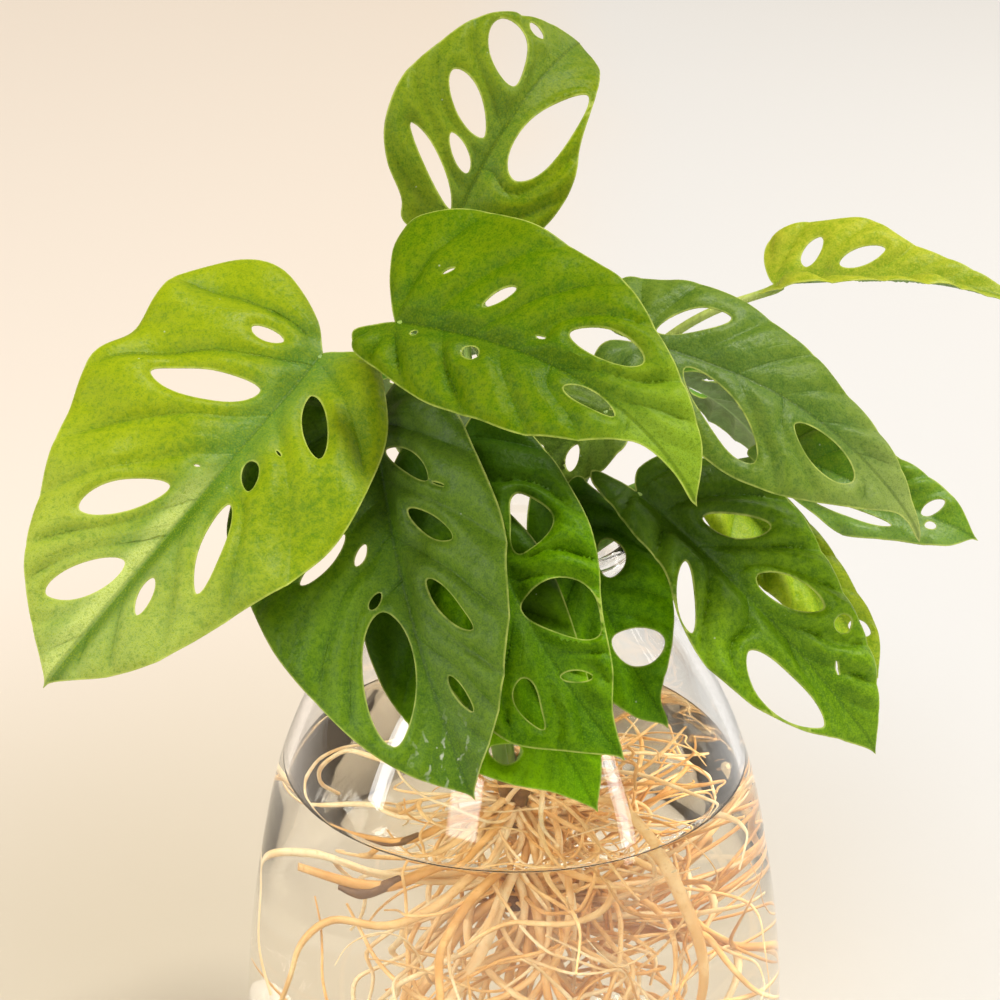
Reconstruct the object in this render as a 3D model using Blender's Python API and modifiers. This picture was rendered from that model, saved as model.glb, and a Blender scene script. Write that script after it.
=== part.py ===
"""A monstera adansonii: four cuttings that root in a clear glass vase of water.

The origin is the middle of the vase's base, +Z is up, and the front of the plant looks along -Y. Sizes are in
millimetres, and MM turns them into the scene's metres.
"""

import math
import random

import bmesh
import bpy
from mathutils import Vector, geometry

MM = 0.001
GAP = 0.3

# The vase is a bottle with a narrow neck. OUTER_SIDE gives how far below the rim its outside has which radius.
VASE_HEIGHT = 222.0
OUTER_SIDE = (
    (8, 34.5), (16, 36), (28, 44), (42, 54.5), (60, 64.5), (80, 72), (105, 77.5), (130, 81.5), (150, 83.5),
    (168, 84), (186, 82), (202, 76), (214, 67.5),
)
RIM_RADIUS = 37.0
LIP = 2.2
WALL = 3.5
BASE_RADIUS = 60.0
BASE_THICKNESS = 9.0
FLOOR_ROUND = 6.0
LIP_ARC = (225.0, -45.0)
LIP_STEPS = 6
VASE_STEPS = 32

# The water stands to 78 mm below the rim.
WATER_LEVEL = VASE_HEIGHT - 78.0
BORE_CLEARANCE = 0.45
BORE_ABOVE_WATER = 30.0

# Roots grow from the stubs, the brown lower ends of the four stems, which meet at the crown.
STUB_TOP = 137.0
CROWN = (0.0, -2.0, 106.0)
STUB_RADIUS = 2.5
STUB_SAG = 3.0
STUB_BELOW_CROWN = 6.0

# The roots start at heights a few millimetres apart, each turned on from the last by the golden angle.
ROOT_COUNT = 12
ROOT_TURN = 137.5
ROOT_TIERS = 4
ROOT_TIER_STEP = 6.0
ROOT_RADIUS = (1.5, 0.8)
ROOT_STEPS = 8
ROOT_STEP = 15.5
ROOT_FIRST_SLOPE = (-1.1, 0.1)
ROOT_WANDER = 0.5
ROOT_SINK = (-0.55, 0.25)
ROOT_WALL_CLEARANCE = 6.0
ROOT_WALL_REACH = 24.0
ROOT_SEED = 7

# The end faces of a stub and its stem lean a little to each other, so the stem stands this much above the stub.
STEM_GAP = 0.55
STEM_RADIUS = (2.3, 1.9)
STEM_PARTS = 2
STALK_RADIUS = (1.5, 1.15)
STALK_STEPS = 7

# A stalk arrives under its blade, this far in from the heel, and runs straight up to it over the last stretch.
HEEL_INSET = 1.5
HEEL_GAP = 0.4
STALK_ARRIVAL = 12.0

BLADE_THICKNESS = 0.7
RIB_THICKNESS = 1.3
RIB_SAMPLES = 60
WAVE_HEIGHT = 0.9
WAVE_LENGTH = 31.0
WAVE_SHIFT = 1.7
DROOP_REACH = 30.0

# The outline of a blade is given by its half widths at these parts of its length, heel to tip. Before the first of
# them it rounds the lobe, through parts of the lobe's reach and width: two of them in the sinus, and one outside.
STATIONS = (0.0, 0.1, 0.2, 0.35, 0.5, 0.65, 0.8, 0.9)
SINUS_REACH = 0.45
SINUS_WIDTH = 0.28
LOBE_REACH = 0.78
LOBE_WIDTH = 0.535
OUTLINE_PARTS = 2

# A hole is a pointed oval, with fewer points where it is short. Its edge is drawn to a point by HOLE_POINT.
HOLE_POINTS = (8, 10)
LONG_HOLE = 15.0
HOLE_POINT = 0.15

# The blade bends at the points of a loose grid, kept off its edges, and at points along the midrib.
CELL = 13.0
CELL_COLUMNS = 4
BORDER = 3.2
RIB_BORDER = 1.2
RIB_POINTS = (0.12, 0.24, 0.36, 0.48, 0.6, 0.72, 0.84, 0.93)

# Each blade hangs from its heel, where the stalk joins it, to its tip. Its upper face looks along "face", given as
# azimuth and elevation. The midrib rises along the face by "rise" and sideways by "sweep", most at the part
# "peak" of its length. "fold" is the slope of the two sides, and "droop" is how far they fall 30 mm out.
# "left" and "right" hold how far the lobe reaches behind the heel, how far out that is, and the half widths.
# A hole is (along, across, length, width, angle to the midrib, bend), with left of the midrib positive.
LEAVES = {
    "leaf_01": {
        "heel": (-52.0, -30.0, 285.3), "tip": (-121.1, -95.0, 219.0), "face": (-100, 38),
        "rise": 8, "sweep": 2.5, "peak": 0.5, "fold": 0.12, "droop": 2,
        "left": (5, 10, 19, 29, 34, 38, 36, 28.5, 22, 13),
        "right": (18, 25, 47, 47, 46, 48.5, 43, 35.5, 26, 15),
        "holes": (
            (5, -15, 10, 4, -82, 0), (29, -18, 29, 10, -66, 1), (67, -15, 25, 8, -36, -1), (90, -9, 21, 9, -29, 0),
            (22, 13, 21, 6.5, 44, 0), (43, 8, 10, 4.5, 35, 0), (64, 13, 24, 6.5, 22, 0), (84, 7, 10, 4, 20, 0),
        ),
    },
    "leaf_02": {
        "heel": (-31.7, -52.0, 301.5), "tip": (43.7, -100.0, 271.5), "face": (-88, 38),
        "rise": 9, "sweep": 9, "peak": 0.62, "fold": 0.02, "droop": 3,
        "left": (8, 22, 33, 36, 35, 32, 29, 21, 13.5, 8.5),
        "right": (11, 4, 14, 18, 20.5, 21, 20, 15.5, 4.5, 1.5),
        "holes": (
            (26, 12, 9, 3, 46, 0.5), (26, -5, 5, 4, -26, 0), (56, 12, 19, 7, 12, 0), (62, -3, 17, 5, 4, 0),
        ),
    },
    "leaf_03": {
        "heel": (-16.7, -8.0, 315.1), "tip": (19.2, 32.0, 357.0), "face": (-80, 30),
        "rise": 11, "sweep": 3.5, "peak": 0.5, "fold": 0.15, "droop": 1,
        "left": (8, 11, 18, 24, 29, 31, 28, 24, 18, 11),
        "right": (6, 10, 18, 22, 24, 24, 20, 17, 13.5, 10),
        "holes": (
            (45, 11, 17, 11, 50, 0), (29, 12, 20, 7, 61, 0), (13, 12, 26, 4, 54, -1), (17, 7, 12, 4, 53, 0),
            (36, -11, 32, 11, -4, 1), (57, 7, 4, 3, 76, 0),
        ),
    },
    "leaf_04": {
        "heel": (36.9, -35.0, 289.0), "tip": (109.6, -50.0, 239.4), "face": (-75, 45),
        "rise": 8, "sweep": 6.5, "peak": 0.5, "fold": -0.05, "droop": 3,
        "left": (13, 17, 23, 23, 22.5, 19.5, 15.5, 12, 8.5, 5),
        "right": (12, 14, 18, 22, 25, 27, 26, 20, 12, 4),
        "holes": ((8, 10, 19, 7, 32, 0), (24, -13, 35, 10, -31, 0), (55, -7, 24, 9, -3, 0)),
    },
    "leaf_05": {
        "heel": (72.4, 5.0, 293.5), "tip": (141.8, -10.0, 292.3), "face": (-90, 76),
        "rise": 6, "sweep": 0, "peak": 0.5, "fold": 0.4, "droop": 0,
        "left": (4, 10, 18, 20, 20, 19, 13, 9, 5, 3),
        "right": (3, 8, 10, 12, 13, 14, 13, 10, 6, 3),
        "holes": ((11, 9, 11, 5, 67, 0), (25, 6, 13, 5, 20, 0)),
    },
    "leaf_06": {
        "heel": (-38.9, -35.0, 269.1), "tip": (-11.9, -100.0, 188.5), "face": (-108, 30),
        "rise": 6, "sweep": -2, "peak": 0.5, "fold": 0.2, "droop": 0,
        "left": (8, 12, 22, 26, 29, 32.5, 31, 26.5, 18, 10),
        "right": (12, 18, 32, 38, 42, 42, 38, 31.5, 22, 13),
        "holes": (
            (18, 9, 19, 5, 40, 0.7), (37, 12, 16, 5, 40, 0), (60, 12, 18, 5, 30, 0), (82, 7, 11, 3, 14, 0),
            (39, -9, 6, 2.5, -36, 0), (52, -8, 5, 2.5, -41, 0), (73, -11, 33, 14, -10, -1),
            (38, -19, 17, 4.5, -56, 0.9),
        ),
    },
    "leaf_07": {
        "heel": (-14.8, -28.0, 261.4), "tip": (27.8, -88.0, 193.6), "face": (-85, 30),
        "rise": 6, "sweep": -7, "peak": 0.5, "fold": 0.1, "droop": 2,
        "left": (9, 10, 17, 21, 24, 26, 24, 18, 12, 5),
        "right": (9, 10, 16, 22, 26, 28, 28, 27, 22, 11),
        "holes": ((33, 10, 17, 12, -16, 3), (60, 9, 24, 14, 37, 3), (78, -11, 12, 6, -8, -0.5), (78, 3, 8, 3, 56, 0)),
    },
    "leaf_08": {
        "heel": (-19.4, -40.0, 240.4), "tip": (21.6, -80.0, 172.9), "face": (-95, 35),
        "rise": 5, "sweep": 0, "peak": 0.5, "fold": 0.1, "droop": 2,
        "left": (7, 8, 14, 17, 19, 19, 17, 14, 10, 6),
        "right": (9, 12, 24, 30, 34, 36, 34.5, 29.5, 18, 7.5),
        "holes": ((60, -14, 6, 5, 45, 0),),
    },
    "leaf_09": {
        "heel": (13.5, -20.5, 241.5), "tip": (42.4, -54.0, 184.4), "face": (-80, 35),
        "rise": 5, "sweep": -4, "peak": 0.5, "fold": 0.1, "droop": 2,
        "left": (3, 4, 7, 12, 16.5, 19.5, 19.5, 16, 8, 2),
        "right": (5, 6, 10, 13, 15, 16, 16, 15, 11, 7),
        "holes": ((29, 3, 12, 7, -13, 1.5), (54, 3, 15, 9, 57, -0.7)),
    },
    "leaf_10": {
        "heel": (33.2, -28.0, 244.2), "tip": (99.4, -62.0, 180.9), "face": (-75, 40),
        "rise": 8, "sweep": 0, "peak": 0.5, "fold": 0.1, "droop": 3,
        "left": (4, 5, 17, 24, 28, 29, 24, 19.5, 14.5, 8.5),
        "right": (13, 4, 9, 11, 12, 20, 24, 21.5, 15, 7),
        "holes": (
            (32, -14, 20, 5, -43, -1), (68, -12, 30, 11, 5, -1.4), (27, 12, 18, 7, 42, -0.9),
            (50, 9, 20, 8, 21, -0.6), (66, 14, 5, 5, -21, 0),
        ),
    },
    "leaf_11": {
        "heel": (56.3, -6.0, 238.7), "tip": (102.5, -40.0, 193.3), "face": (-70, 40),
        "rise": 6, "sweep": 0, "peak": 0.5, "fold": 0.1, "droop": 2,
        "left": (4, 5, 8, 10, 11, 11, 10, 9, 8, 5),
        "right": (4, 5, 8, 12, 14, 15, 14, 12, 8, 5),
        "holes": ((52, 5, 6, 3, -2, 0),),
    },
    "leaf_12": {
        "heel": (72.5, -5.0, 250.0), "tip": (128.1, -32.0, 232.0), "face": (-80, 40),
        "rise": 6, "sweep": -3, "peak": 0.5, "fold": -0.05, "droop": 2,
        "left": (5, 7, 11, 13, 14, 14, 13, 11, 9, 6),
        "right": (4, 5, 8, 10, 12, 14, 16, 12, 9, 6),
        "holes": ((32, -9, 22, 3, 7, 0), (51, 3, 7, 4, 52, 0)),
    },
    "leaf_13": {
        "heel": (27.0, -1.0, 258.0), "tip": (0.0, -7.0, 235.0), "face": (-105, 45),
        "rise": 4, "sweep": 0, "peak": 0.5, "fold": 0.1, "droop": 1,
        "left": (4, 5, 10, 13, 14, 15, 14, 11, 7, 4),
        "right": (4, 5, 10, 13, 14, 15, 14, 11, 7, 4),
        "holes": ((22, 7, 10, 4, 40, 0), (30, -6, 9, 3.5, -35, 0)),
    },
    "leaf_14": {
        "heel": (40.0, 22.0, 262.0), "tip": (88.0, 62.0, 206.0), "face": (50, 45),
        "rise": 8, "sweep": 0, "peak": 0.5, "fold": 0.1, "droop": 2,
        "left": (8, 10, 20, 25, 27, 28, 26, 21, 13, 7),
        "right": (8, 10, 20, 25, 27, 28, 26, 21, 13, 7),
        "holes": ((20, 9, 14, 5, 50, 0), (36, 10, 16, 6, 40, 0), (24, -10, 16, 6, -50, 0), (46, -9, 16, 6, -35, 0)),
    },
    "leaf_15": {
        "heel": (-14.0, 30.0, 268.0), "tip": (-30.0, 92.0, 198.0), "face": (95, 40),
        "rise": 8, "sweep": 0, "peak": 0.5, "fold": 0.1, "droop": 2,
        "left": (8, 10, 21, 27, 30, 31, 28, 22, 14, 8),
        "right": (8, 10, 21, 27, 30, 31, 28, 22, 14, 8),
        "holes": (
            (20, 9, 14, 5, 50, 0), (40, 11, 18, 6, 40, 0), (24, -10, 16, 6, -50, 0), (46, -11, 18, 6, -35, 0),
            (64, 8, 12, 4, 30, 0),
        ),
    },
    "leaf_16": {
        "heel": (-40.0, 12.0, 262.0), "tip": (-92.0, 52.0, 214.0), "face": (140, 42),
        "rise": 8, "sweep": 0, "peak": 0.5, "fold": 0.1, "droop": 2,
        "left": (7, 9, 18, 23, 25, 26, 24, 19, 12, 6),
        "right": (7, 9, 18, 23, 25, 26, 24, 19, 12, 6),
        "holes": ((20, 9, 14, 5, 50, 0), (38, 9, 14, 5, 40, 0), (26, -9, 14, 5, -45, 0)),
    },
}

# Each stem runs through these points, from the top of its stub. A stalk leaves it at one of them, counted from 0,
# and sets off along the last direction given, on its way to the heel of its leaf.
VINES = {
    "vine_1": {
        "stem": ((-3, -5, STUB_TOP), (-9, -7, 180), (-15, -9, 212), (-19, -9, 238), (-23, -6, 256)),
        "stalks": (
            ("leaf_08", 1, (-6, -12, 30)), ("leaf_06", 2, (-2, -6, 30)), ("leaf_01", 3, (-10, 0, 30)),
            ("leaf_16", 4, (-6, 8, 14)),
        ),
    },
    "vine_2": {
        "stem": ((-2, 4, STUB_TOP), (-4, 7, 180), (-4, 8, 215), (-6, 8, 250), (-10, 8, 285)),
        "stalks": (
            ("leaf_07", 1, (0, -10, 30)), ("leaf_15", 2, (0, 8, 30)), ("leaf_02", 3, (0, -4, 40)),
            ("leaf_03", 4, (-4, 2, 12)),
        ),
    },
    "vine_3": {
        "stem": ((3, 3, STUB_TOP), (9, 7, 180), (14, 9, 212), (22, 9, 240), (32, 9, 264)),
        "stalks": (
            ("leaf_13", 1, (-4, -4, 30)), ("leaf_14", 2, (6, 6, 30)), ("leaf_04", 3, (13, 5, 32)),
            ("leaf_05", 4, (18, 0, 22)),
        ),
    },
    "vine_4": {
        "stem": ((3, -6, STUB_TOP), (8, -10, 180), (13, -13, 208), (18, -14, 226)),
        "stalks": (
            ("leaf_09", 1, (0, -2, 30)), ("leaf_11", 2, (14, 4, 22)), ("leaf_10", 2, (4, -6, 22)),
            ("leaf_12", 3, (14, 2, 22)),
        ),
    },
}


def make_material(name, color, roughness, metallic=0.0, transmission=0.0):
    material = bpy.data.materials.new(name)
    material.use_nodes = True
    shader = material.node_tree.nodes["Principled BSDF"]
    shader.inputs["Base Color"].default_value = (*color, 1.0)
    shader.inputs["Roughness"].default_value = roughness
    shader.inputs["Metallic"].default_value = metallic
    shader.inputs["Transmission Weight"].default_value = transmission
    return material


def smooth_line(points, parts):
    """A Catmull-Rom line through points of any size, with `parts` steps in each stretch."""
    first, last = points[0] * 2 - points[1], points[-1] * 2 - points[-2]
    padded = [first, *points, last]
    line = []
    for before, start, end, after in zip(padded, padded[1:], padded[2:], padded[3:]):
        gaps = [math.sqrt(max((b - a).length, 1e-6)) for a, b in ((before, start), (start, end), (end, after))]
        leave = (start - before) / gaps[0] - (end - before) / (gaps[0] + gaps[1]) + (end - start) / gaps[1]
        arrive = (end - start) / gaps[1] - (after - start) / (gaps[1] + gaps[2]) + (after - end) / gaps[2]
        leave *= gaps[1]
        arrive *= gaps[1]
        for step in range(parts):
            t = step / parts
            line.append(
                start * (2 * t**3 - 3 * t**2 + 1)
                + leave * (t**3 - 2 * t**2 + t)
                + end * (3 * t**2 - 2 * t**3)
                + arrive * (t**3 - t**2)
            )
    return [*line, points[-1].copy()]


def add_object(name, mesh, material, collection):
    mesh.materials.clear()
    mesh.materials.append(material)
    obj = bpy.data.objects.new(name, mesh)
    collection.objects.link(obj)
    return obj


def tube(points, radii):
    """A closed mesh tube along points in millimetres, with six sides."""
    curve = bpy.data.curves.new("tube", "CURVE")
    curve.dimensions = "3D"
    curve.bevel_depth = MM
    curve.bevel_resolution = 1
    curve.use_fill_caps = True
    spline = curve.splines.new("POLY")
    spline.points.add(len(points) - 1)
    for spot, point, radius in zip(spline.points, points, radii):
        spot.co = (*(point * MM), 1.0)
        spot.radius = radius
    obj = bpy.data.objects.new("tube", curve)
    bpy.context.scene.collection.objects.link(obj)
    graph = bpy.context.evaluated_depsgraph_get()
    mesh = bpy.data.meshes.new_from_object(obj.evaluated_get(graph))
    bpy.data.objects.remove(obj)
    work = bmesh.new()
    work.from_mesh(mesh)
    bmesh.ops.remove_doubles(work, verts=work.verts, dist=1e-6)
    bmesh.ops.recalc_face_normals(work, faces=work.faces)
    work.to_mesh(mesh)
    work.free()
    return mesh


def evaluated_mesh(obj):
    graph = bpy.context.evaluated_depsgraph_get()
    return bpy.data.meshes.new_from_object(obj.evaluated_get(graph))


def keep_largest_shell(mesh):
    """Fills what joining sealed, and drops scraps: only the largest connected surface stays."""
    work = bmesh.new()
    work.from_mesh(mesh)
    left = set(work.verts)
    shells = []
    while left:
        shell = {left.pop()}
        front = list(shell)
        while front:
            here = front.pop()
            near = {edge.other_vert(here) for edge in here.link_edges} - shell
            shell |= near
            front.extend(near)
        left -= shell
        shells.append(shell)
    keep = max(shells, key=len)
    bmesh.ops.delete(work, geom=[vert for vert in work.verts if vert not in keep], context="VERTS")
    work.to_mesh(mesh)
    work.free()


def fused(name, meshes, material, collection):
    """One object that joins closed meshes, each sunk into the next, by a single Boolean union."""
    helpers = bpy.data.collections.new(name + " pieces")
    bpy.context.scene.collection.children.link(helpers)
    body = add_object(name, meshes[0], material, collection)
    for mesh in meshes[1:]:
        add_object(name + " piece", mesh, material, helpers)
    union = body.modifiers.new("Union", "BOOLEAN")
    union.operation = "UNION"
    union.operand_type = "COLLECTION"
    union.collection = helpers
    union.solver = "MANIFOLD"
    joined = evaluated_mesh(body)
    body.modifiers.clear()
    for helper in list(helpers.objects):
        bpy.data.objects.remove(helper)
    bpy.data.collections.remove(helpers)
    body.data = joined
    keep_largest_shell(joined)
    return body


def shade_smooth(obj):
    obj.data.shade_smooth()
    obj.data.set_sharp_from_angle(angle=math.radians(35))


def turned(name, profile, material, collection):
    """A profile of (radius, height) pairs, screwed round +Z. It ends on the axis at both ends."""
    mesh = bpy.data.meshes.new(name)
    edges = [(i, i + 1) for i in range(len(profile) - 1)]
    mesh.from_pydata([(radius * MM, 0.0, height * MM) for radius, height in profile], edges, [])
    obj = add_object(name, mesh, material, collection)
    screw = obj.modifiers.new("Screw", "SCREW")
    screw.steps = VASE_STEPS
    screw.render_steps = VASE_STEPS
    screw.use_merge_vertices = True
    screw.merge_threshold = 1e-6
    return obj


def outer_side():
    """The outside of the glass from under the lip to the base's corner, as (radius, height)."""
    return [(radius, VASE_HEIGHT - below) for below, radius in OUTER_SIDE]


def inner_side(inset):
    """The outside of the glass moved in by `inset`, from the neck down to the inner floor, as (radius, height)."""
    side = outer_side()
    floor = BASE_THICKNESS + inset - WALL
    moved = []
    for before, here, after in zip(side, side[1:], side[2:]):
        along = Vector(after) - Vector(before)
        inward = Vector((along.y, -along.x)).normalized()
        radius, height = Vector(here) + inward * inset
        if height > floor + FLOOR_ROUND / 2:
            moved.append((radius, height))
    corner = moved[-1][0] - FLOOR_ROUND
    return [*moved, (corner, floor)]


def build_vase(collection):
    glass = make_material("clear glass", (0.93, 0.95, 0.93), 0.02, transmission=1.0)
    start, end = LIP_ARC
    lip = []
    for step in range(LIP_STEPS + 1):
        angle = math.radians(start + (end - start) * step / LIP_STEPS)
        lip.append((RIM_RADIUS - LIP + LIP * math.cos(angle), VASE_HEIGHT - LIP + LIP * math.sin(angle)))
    profile = [(0.0, BASE_THICKNESS)]
    profile += reversed(inner_side(WALL))
    profile += lip
    profile += outer_side()
    profile += [(BASE_RADIUS, 0.0), (0.0, 0.0)]
    shade_smooth(turned("vase", profile, glass, collection))


def heel_socket(blade):
    """Where a stalk meets the underside of the blade, and the direction it arrives in."""
    point, _, _, normal = blade.frame(HEEL_INSET)
    return point - normal * (RIB_THICKNESS + HEEL_GAP), normal


def stalk_points(start, leaving, blade):
    """The curved line of one stalk, from the stem to the heel of its leaf."""
    end, normal = heel_socket(blade)
    first = start + Vector(leaving)
    second = end - normal * STALK_ARRIVAL
    points = geometry.interpolate_bezier(start, first, second, end, STALK_STEPS + 1)
    lean = (points[-1] - points[-2]).normalized().cross(normal).length
    points[-1] -= normal * STALK_RADIUS[1] * lean
    return points


def build_vine(name, vine, blades, material, collection):
    """One stem with the stalks that grow from it, joined as one body."""
    knots = [Vector(point) for point in vine["stem"]]
    knots[0].z += STEM_GAP
    line = smooth_line(knots, STEM_PARTS)
    wide, slim = STEM_RADIUS
    radii = [wide + (slim - wide) * i / (len(line) - 1) for i in range(len(line))]
    meshes = [tube(line, radii)]
    wide, slim = STALK_RADIUS
    for leaf, node, leaving in vine["stalks"]:
        points = stalk_points(knots[node], leaving, blades[leaf])
        radii = [wide + (slim - wide) * i / STALK_STEPS for i in range(STALK_STEPS + 1)]
        meshes.append(tube(points, radii))
    shade_smooth(fused(name, meshes, material, collection))


def root_lines():
    """Each root's points: it leaves the crown or a stub, spreads, sinks and turns along the glass."""
    random.seed(ROOT_SEED)
    side = inner_side(WALL)
    lines = []
    for index in range(ROOT_COUNT):
        turn = index * math.radians(ROOT_TURN)
        height = CROWN[2] + (index % ROOT_TIERS) * ROOT_TIER_STEP
        point = Vector((CROWN[0], CROWN[1], height))
        heading = Vector((math.cos(turn), math.sin(turn), random.uniform(*ROOT_FIRST_SLOPE))).normalized()
        line = [point.copy()]
        for _ in range(ROOT_STEPS):
            turn_x = random.uniform(-ROOT_WANDER, ROOT_WANDER)
            turn_y = random.uniform(-ROOT_WANDER, ROOT_WANDER)
            heading += Vector((turn_x, turn_y, random.uniform(*ROOT_SINK)))
            heading.normalize()
            ahead = point + heading * ROOT_STEP
            walls = [radius for radius, height in side if abs(height - ahead.z) < ROOT_WALL_REACH]
            room = min(walls) - ROOT_WALL_CLEARANCE
            flat = Vector((ahead.x, ahead.y, 0.0))
            if flat.length > room:
                flat *= room / flat.length
            ahead = Vector((flat.x, flat.y, max(ahead.z, BASE_THICKNESS + ROOT_WALL_CLEARANCE)))
            heading = (ahead - point).normalized()
            point = ahead
            line.append(point.copy())
        lines.append(line)
    return lines


def stub_lines():
    """Each stub's points, from its stem down to just below the crown."""
    crown = Vector(CROWN)
    lines = []
    for vine in VINES.values():
        top = Vector(vine["stem"][0])
        middle = top.lerp(crown, 0.5) - Vector((0, 0, STUB_SAG))
        lines.append([top, middle, crown - Vector((0, 0, STUB_BELOW_CROWN))])
    return lines


def longer(line, extra):
    return [*line[:-1], line[-1] + (line[-1] - line[-2]).normalized() * extra]


def root_meshes(extra):
    """Tubes for the stubs and the roots, each wider by `extra` and longer by as much at its free end."""
    meshes = [tube(longer(line, extra), [STUB_RADIUS + extra] * len(line)) for line in stub_lines()]
    wide, slim = ROOT_RADIUS
    radii = [wide + (slim - wide) * i / ROOT_STEPS + extra for i in range(ROOT_STEPS + 1)]
    meshes += [tube(longer(line, extra), radii) for line in root_lines()]
    return meshes


def build_roots(collection):
    tan = make_material("root tan", (0.55, 0.34, 0.16), 0.6)
    shade_smooth(fused("roots", root_meshes(0.0), tan, collection))


def build_water(collection, cutters):
    """The water, with the holes that the stems, stubs and roots stand in."""
    clear = make_material("water", (0.85, 0.9, 0.86), 0.0, transmission=1.0)
    side = inner_side(WALL + GAP)
    dry = [pair for pair in side if pair[1] >= WATER_LEVEL]
    wet = side[len(dry):]
    part = (WATER_LEVEL - wet[0][1]) / (dry[-1][1] - wet[0][1])
    edge = wet[0][0] + (dry[-1][0] - wet[0][0]) * part
    profile = [(0.0, WATER_LEVEL), (edge, WATER_LEVEL), *wet, (0.0, wet[-1][1])]
    water = turned("water", profile, clear, collection)
    bores = root_meshes(BORE_CLEARANCE)
    for vine in VINES.values():
        knots = [Vector(point) for point in vine["stem"]]
        top = WATER_LEVEL + BORE_ABOVE_WATER
        line = [point for point in smooth_line(knots, STEM_PARTS) if point.z < top]
        line[0] = knots[0] - Vector((0, 0, STEM_GAP))
        bores.append(tube(line, [STEM_RADIUS[0] + BORE_CLEARANCE] * len(line)))
    bore = fused("root bore", bores, clear, cutters)
    cut = water.modifiers.new("Bore", "BOOLEAN")
    cut.operation = "DIFFERENCE"
    cut.object = bore
    cut.solver = "MANIFOLD"
    mesh = evaluated_mesh(water)
    water.modifiers.clear()
    water.data = mesh
    keep_largest_shell(mesh)
    bore.hide_render = True
    bore.display_type = "WIRE"
    shade_smooth(water)


class Blade:
    """The surface of one leaf. u runs along the midrib from the heel, and v across to the leaf's left."""

    def __init__(self, leaf, number):
        self.leaf = leaf
        self.phase = number * WAVE_SHIFT
        self.heel = Vector(leaf["heel"])
        self.tip = Vector(leaf["tip"])
        azimuth, elevation = (math.radians(angle) for angle in leaf["face"])
        level = math.cos(elevation)
        self.face = Vector((level * math.cos(azimuth), level * math.sin(azimuth), math.sin(elevation)))
        chord = self.tip - self.heel
        side, normal = self.across(chord.normalized())
        self.bend = self.heel + chord * leaf["peak"] + (normal * leaf["rise"] + side * leaf["sweep"]) * 2
        self.rib = [self.along(i / RIB_SAMPLES) for i in range(RIB_SAMPLES + 1)]
        self.reach = [0.0]
        for before, here in zip(self.rib, self.rib[1:]):
            self.reach.append(self.reach[-1] + (here - before).length)
        self.length = self.reach[-1]

    def across(self, along):
        side = self.face.cross(along).normalized()
        return side, along.cross(side)

    def along(self, t):
        return self.heel * (1 - t) ** 2 + self.bend * (2 * t * (1 - t)) + self.tip * t**2

    def frame(self, u):
        """The midrib's point at u, with the directions along it, to the left and out of the upper face."""
        inside = min(max(u, 0.0), self.length)
        step = next(i for i in range(RIB_SAMPLES) if inside <= self.reach[i + 1] + 1e-9)
        part = (inside - self.reach[step]) / (self.reach[step + 1] - self.reach[step])
        t = (step + part) / RIB_SAMPLES
        along = ((self.bend - self.heel) * (1 - t) + (self.tip - self.bend) * t).normalized()
        side, normal = self.across(along)
        return self.along(t) + along * (u - inside), along, side, normal

    def point(self, u, v):
        """The place in space of a point of the flat blade, in millimetres."""
        rib, _, side, normal = self.frame(u)
        fold = self.leaf["fold"]
        out = abs(v) / DROOP_REACH
        wave = WAVE_HEIGHT * math.sin(u * math.tau / WAVE_LENGTH + self.phase + (v > 0)) * out**2
        height = fold * abs(v) - self.leaf["droop"] * out**2 + wave
        return rib + side * (v * math.cos(math.atan(fold))) + normal * height

    def margin(self, key, sign):
        """One side of the outline from the sinus, round the lobe, to the tip."""
        reach, out, *widths = self.leaf[key]
        knots = [
            Vector((0.0, 0.0)),
            Vector((-reach * SINUS_REACH, sign * out * SINUS_WIDTH)),
            Vector((-reach, sign * out)),
            Vector((-reach * LOBE_REACH, sign * (out + widths[0]) * LOBE_WIDTH)),
        ]
        knots += [Vector((part * self.length, sign * width)) for part, width in zip(STATIONS, widths)]
        return [*knots, Vector((self.length, 0.0))]

    def outline(self):
        left = smooth_line(self.margin("left", 1), OUTLINE_PARTS)
        right = smooth_line(self.margin("right", -1), OUTLINE_PARTS)
        return left + right[-2:0:-1]

    def hole(self, hole):
        """A hole's edge: a pointed oval, bent along its length."""
        along, across, length, width, angle, bend = hole
        count = HOLE_POINTS[length > LONG_HOLE]
        turn = math.radians(angle)
        edge = []
        for step in range(count):
            round_ = math.tau * step / count
            x = math.cos(round_) * length / 2
            y = math.sin(round_) * abs(math.sin(round_)) ** HOLE_POINT * width / 2
            y += bend * (math.sin(round_) ** 2 - 0.5)
            edge.append(Vector((
                along + x * math.cos(turn) - y * math.sin(turn),
                across + x * math.sin(turn) + y * math.cos(turn),
            )))
        return edge


def inside(point, ring):
    """Whether a ray from the point crosses the closed ring an odd number of times."""
    crossings = 0
    for a, b in zip(ring, ring[1:] + ring[:1]):
        if (a.y > point.y) != (b.y > point.y):
            crossings += point.x < a.x + (point.y - a.y) * (b.x - a.x) / (b.y - a.y)
    return crossings % 2 == 1


def near(point, ring, distance):
    """Whether the point lies within `distance` of the closed ring."""
    for a, b in zip(ring, ring[1:] + ring[:1]):
        _, part = geometry.intersect_point_line(point, a, b)
        part = min(max(part, 0.0), 1.0)
        if (point - a.lerp(b, part)).length < distance:
            return True
    return False


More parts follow.
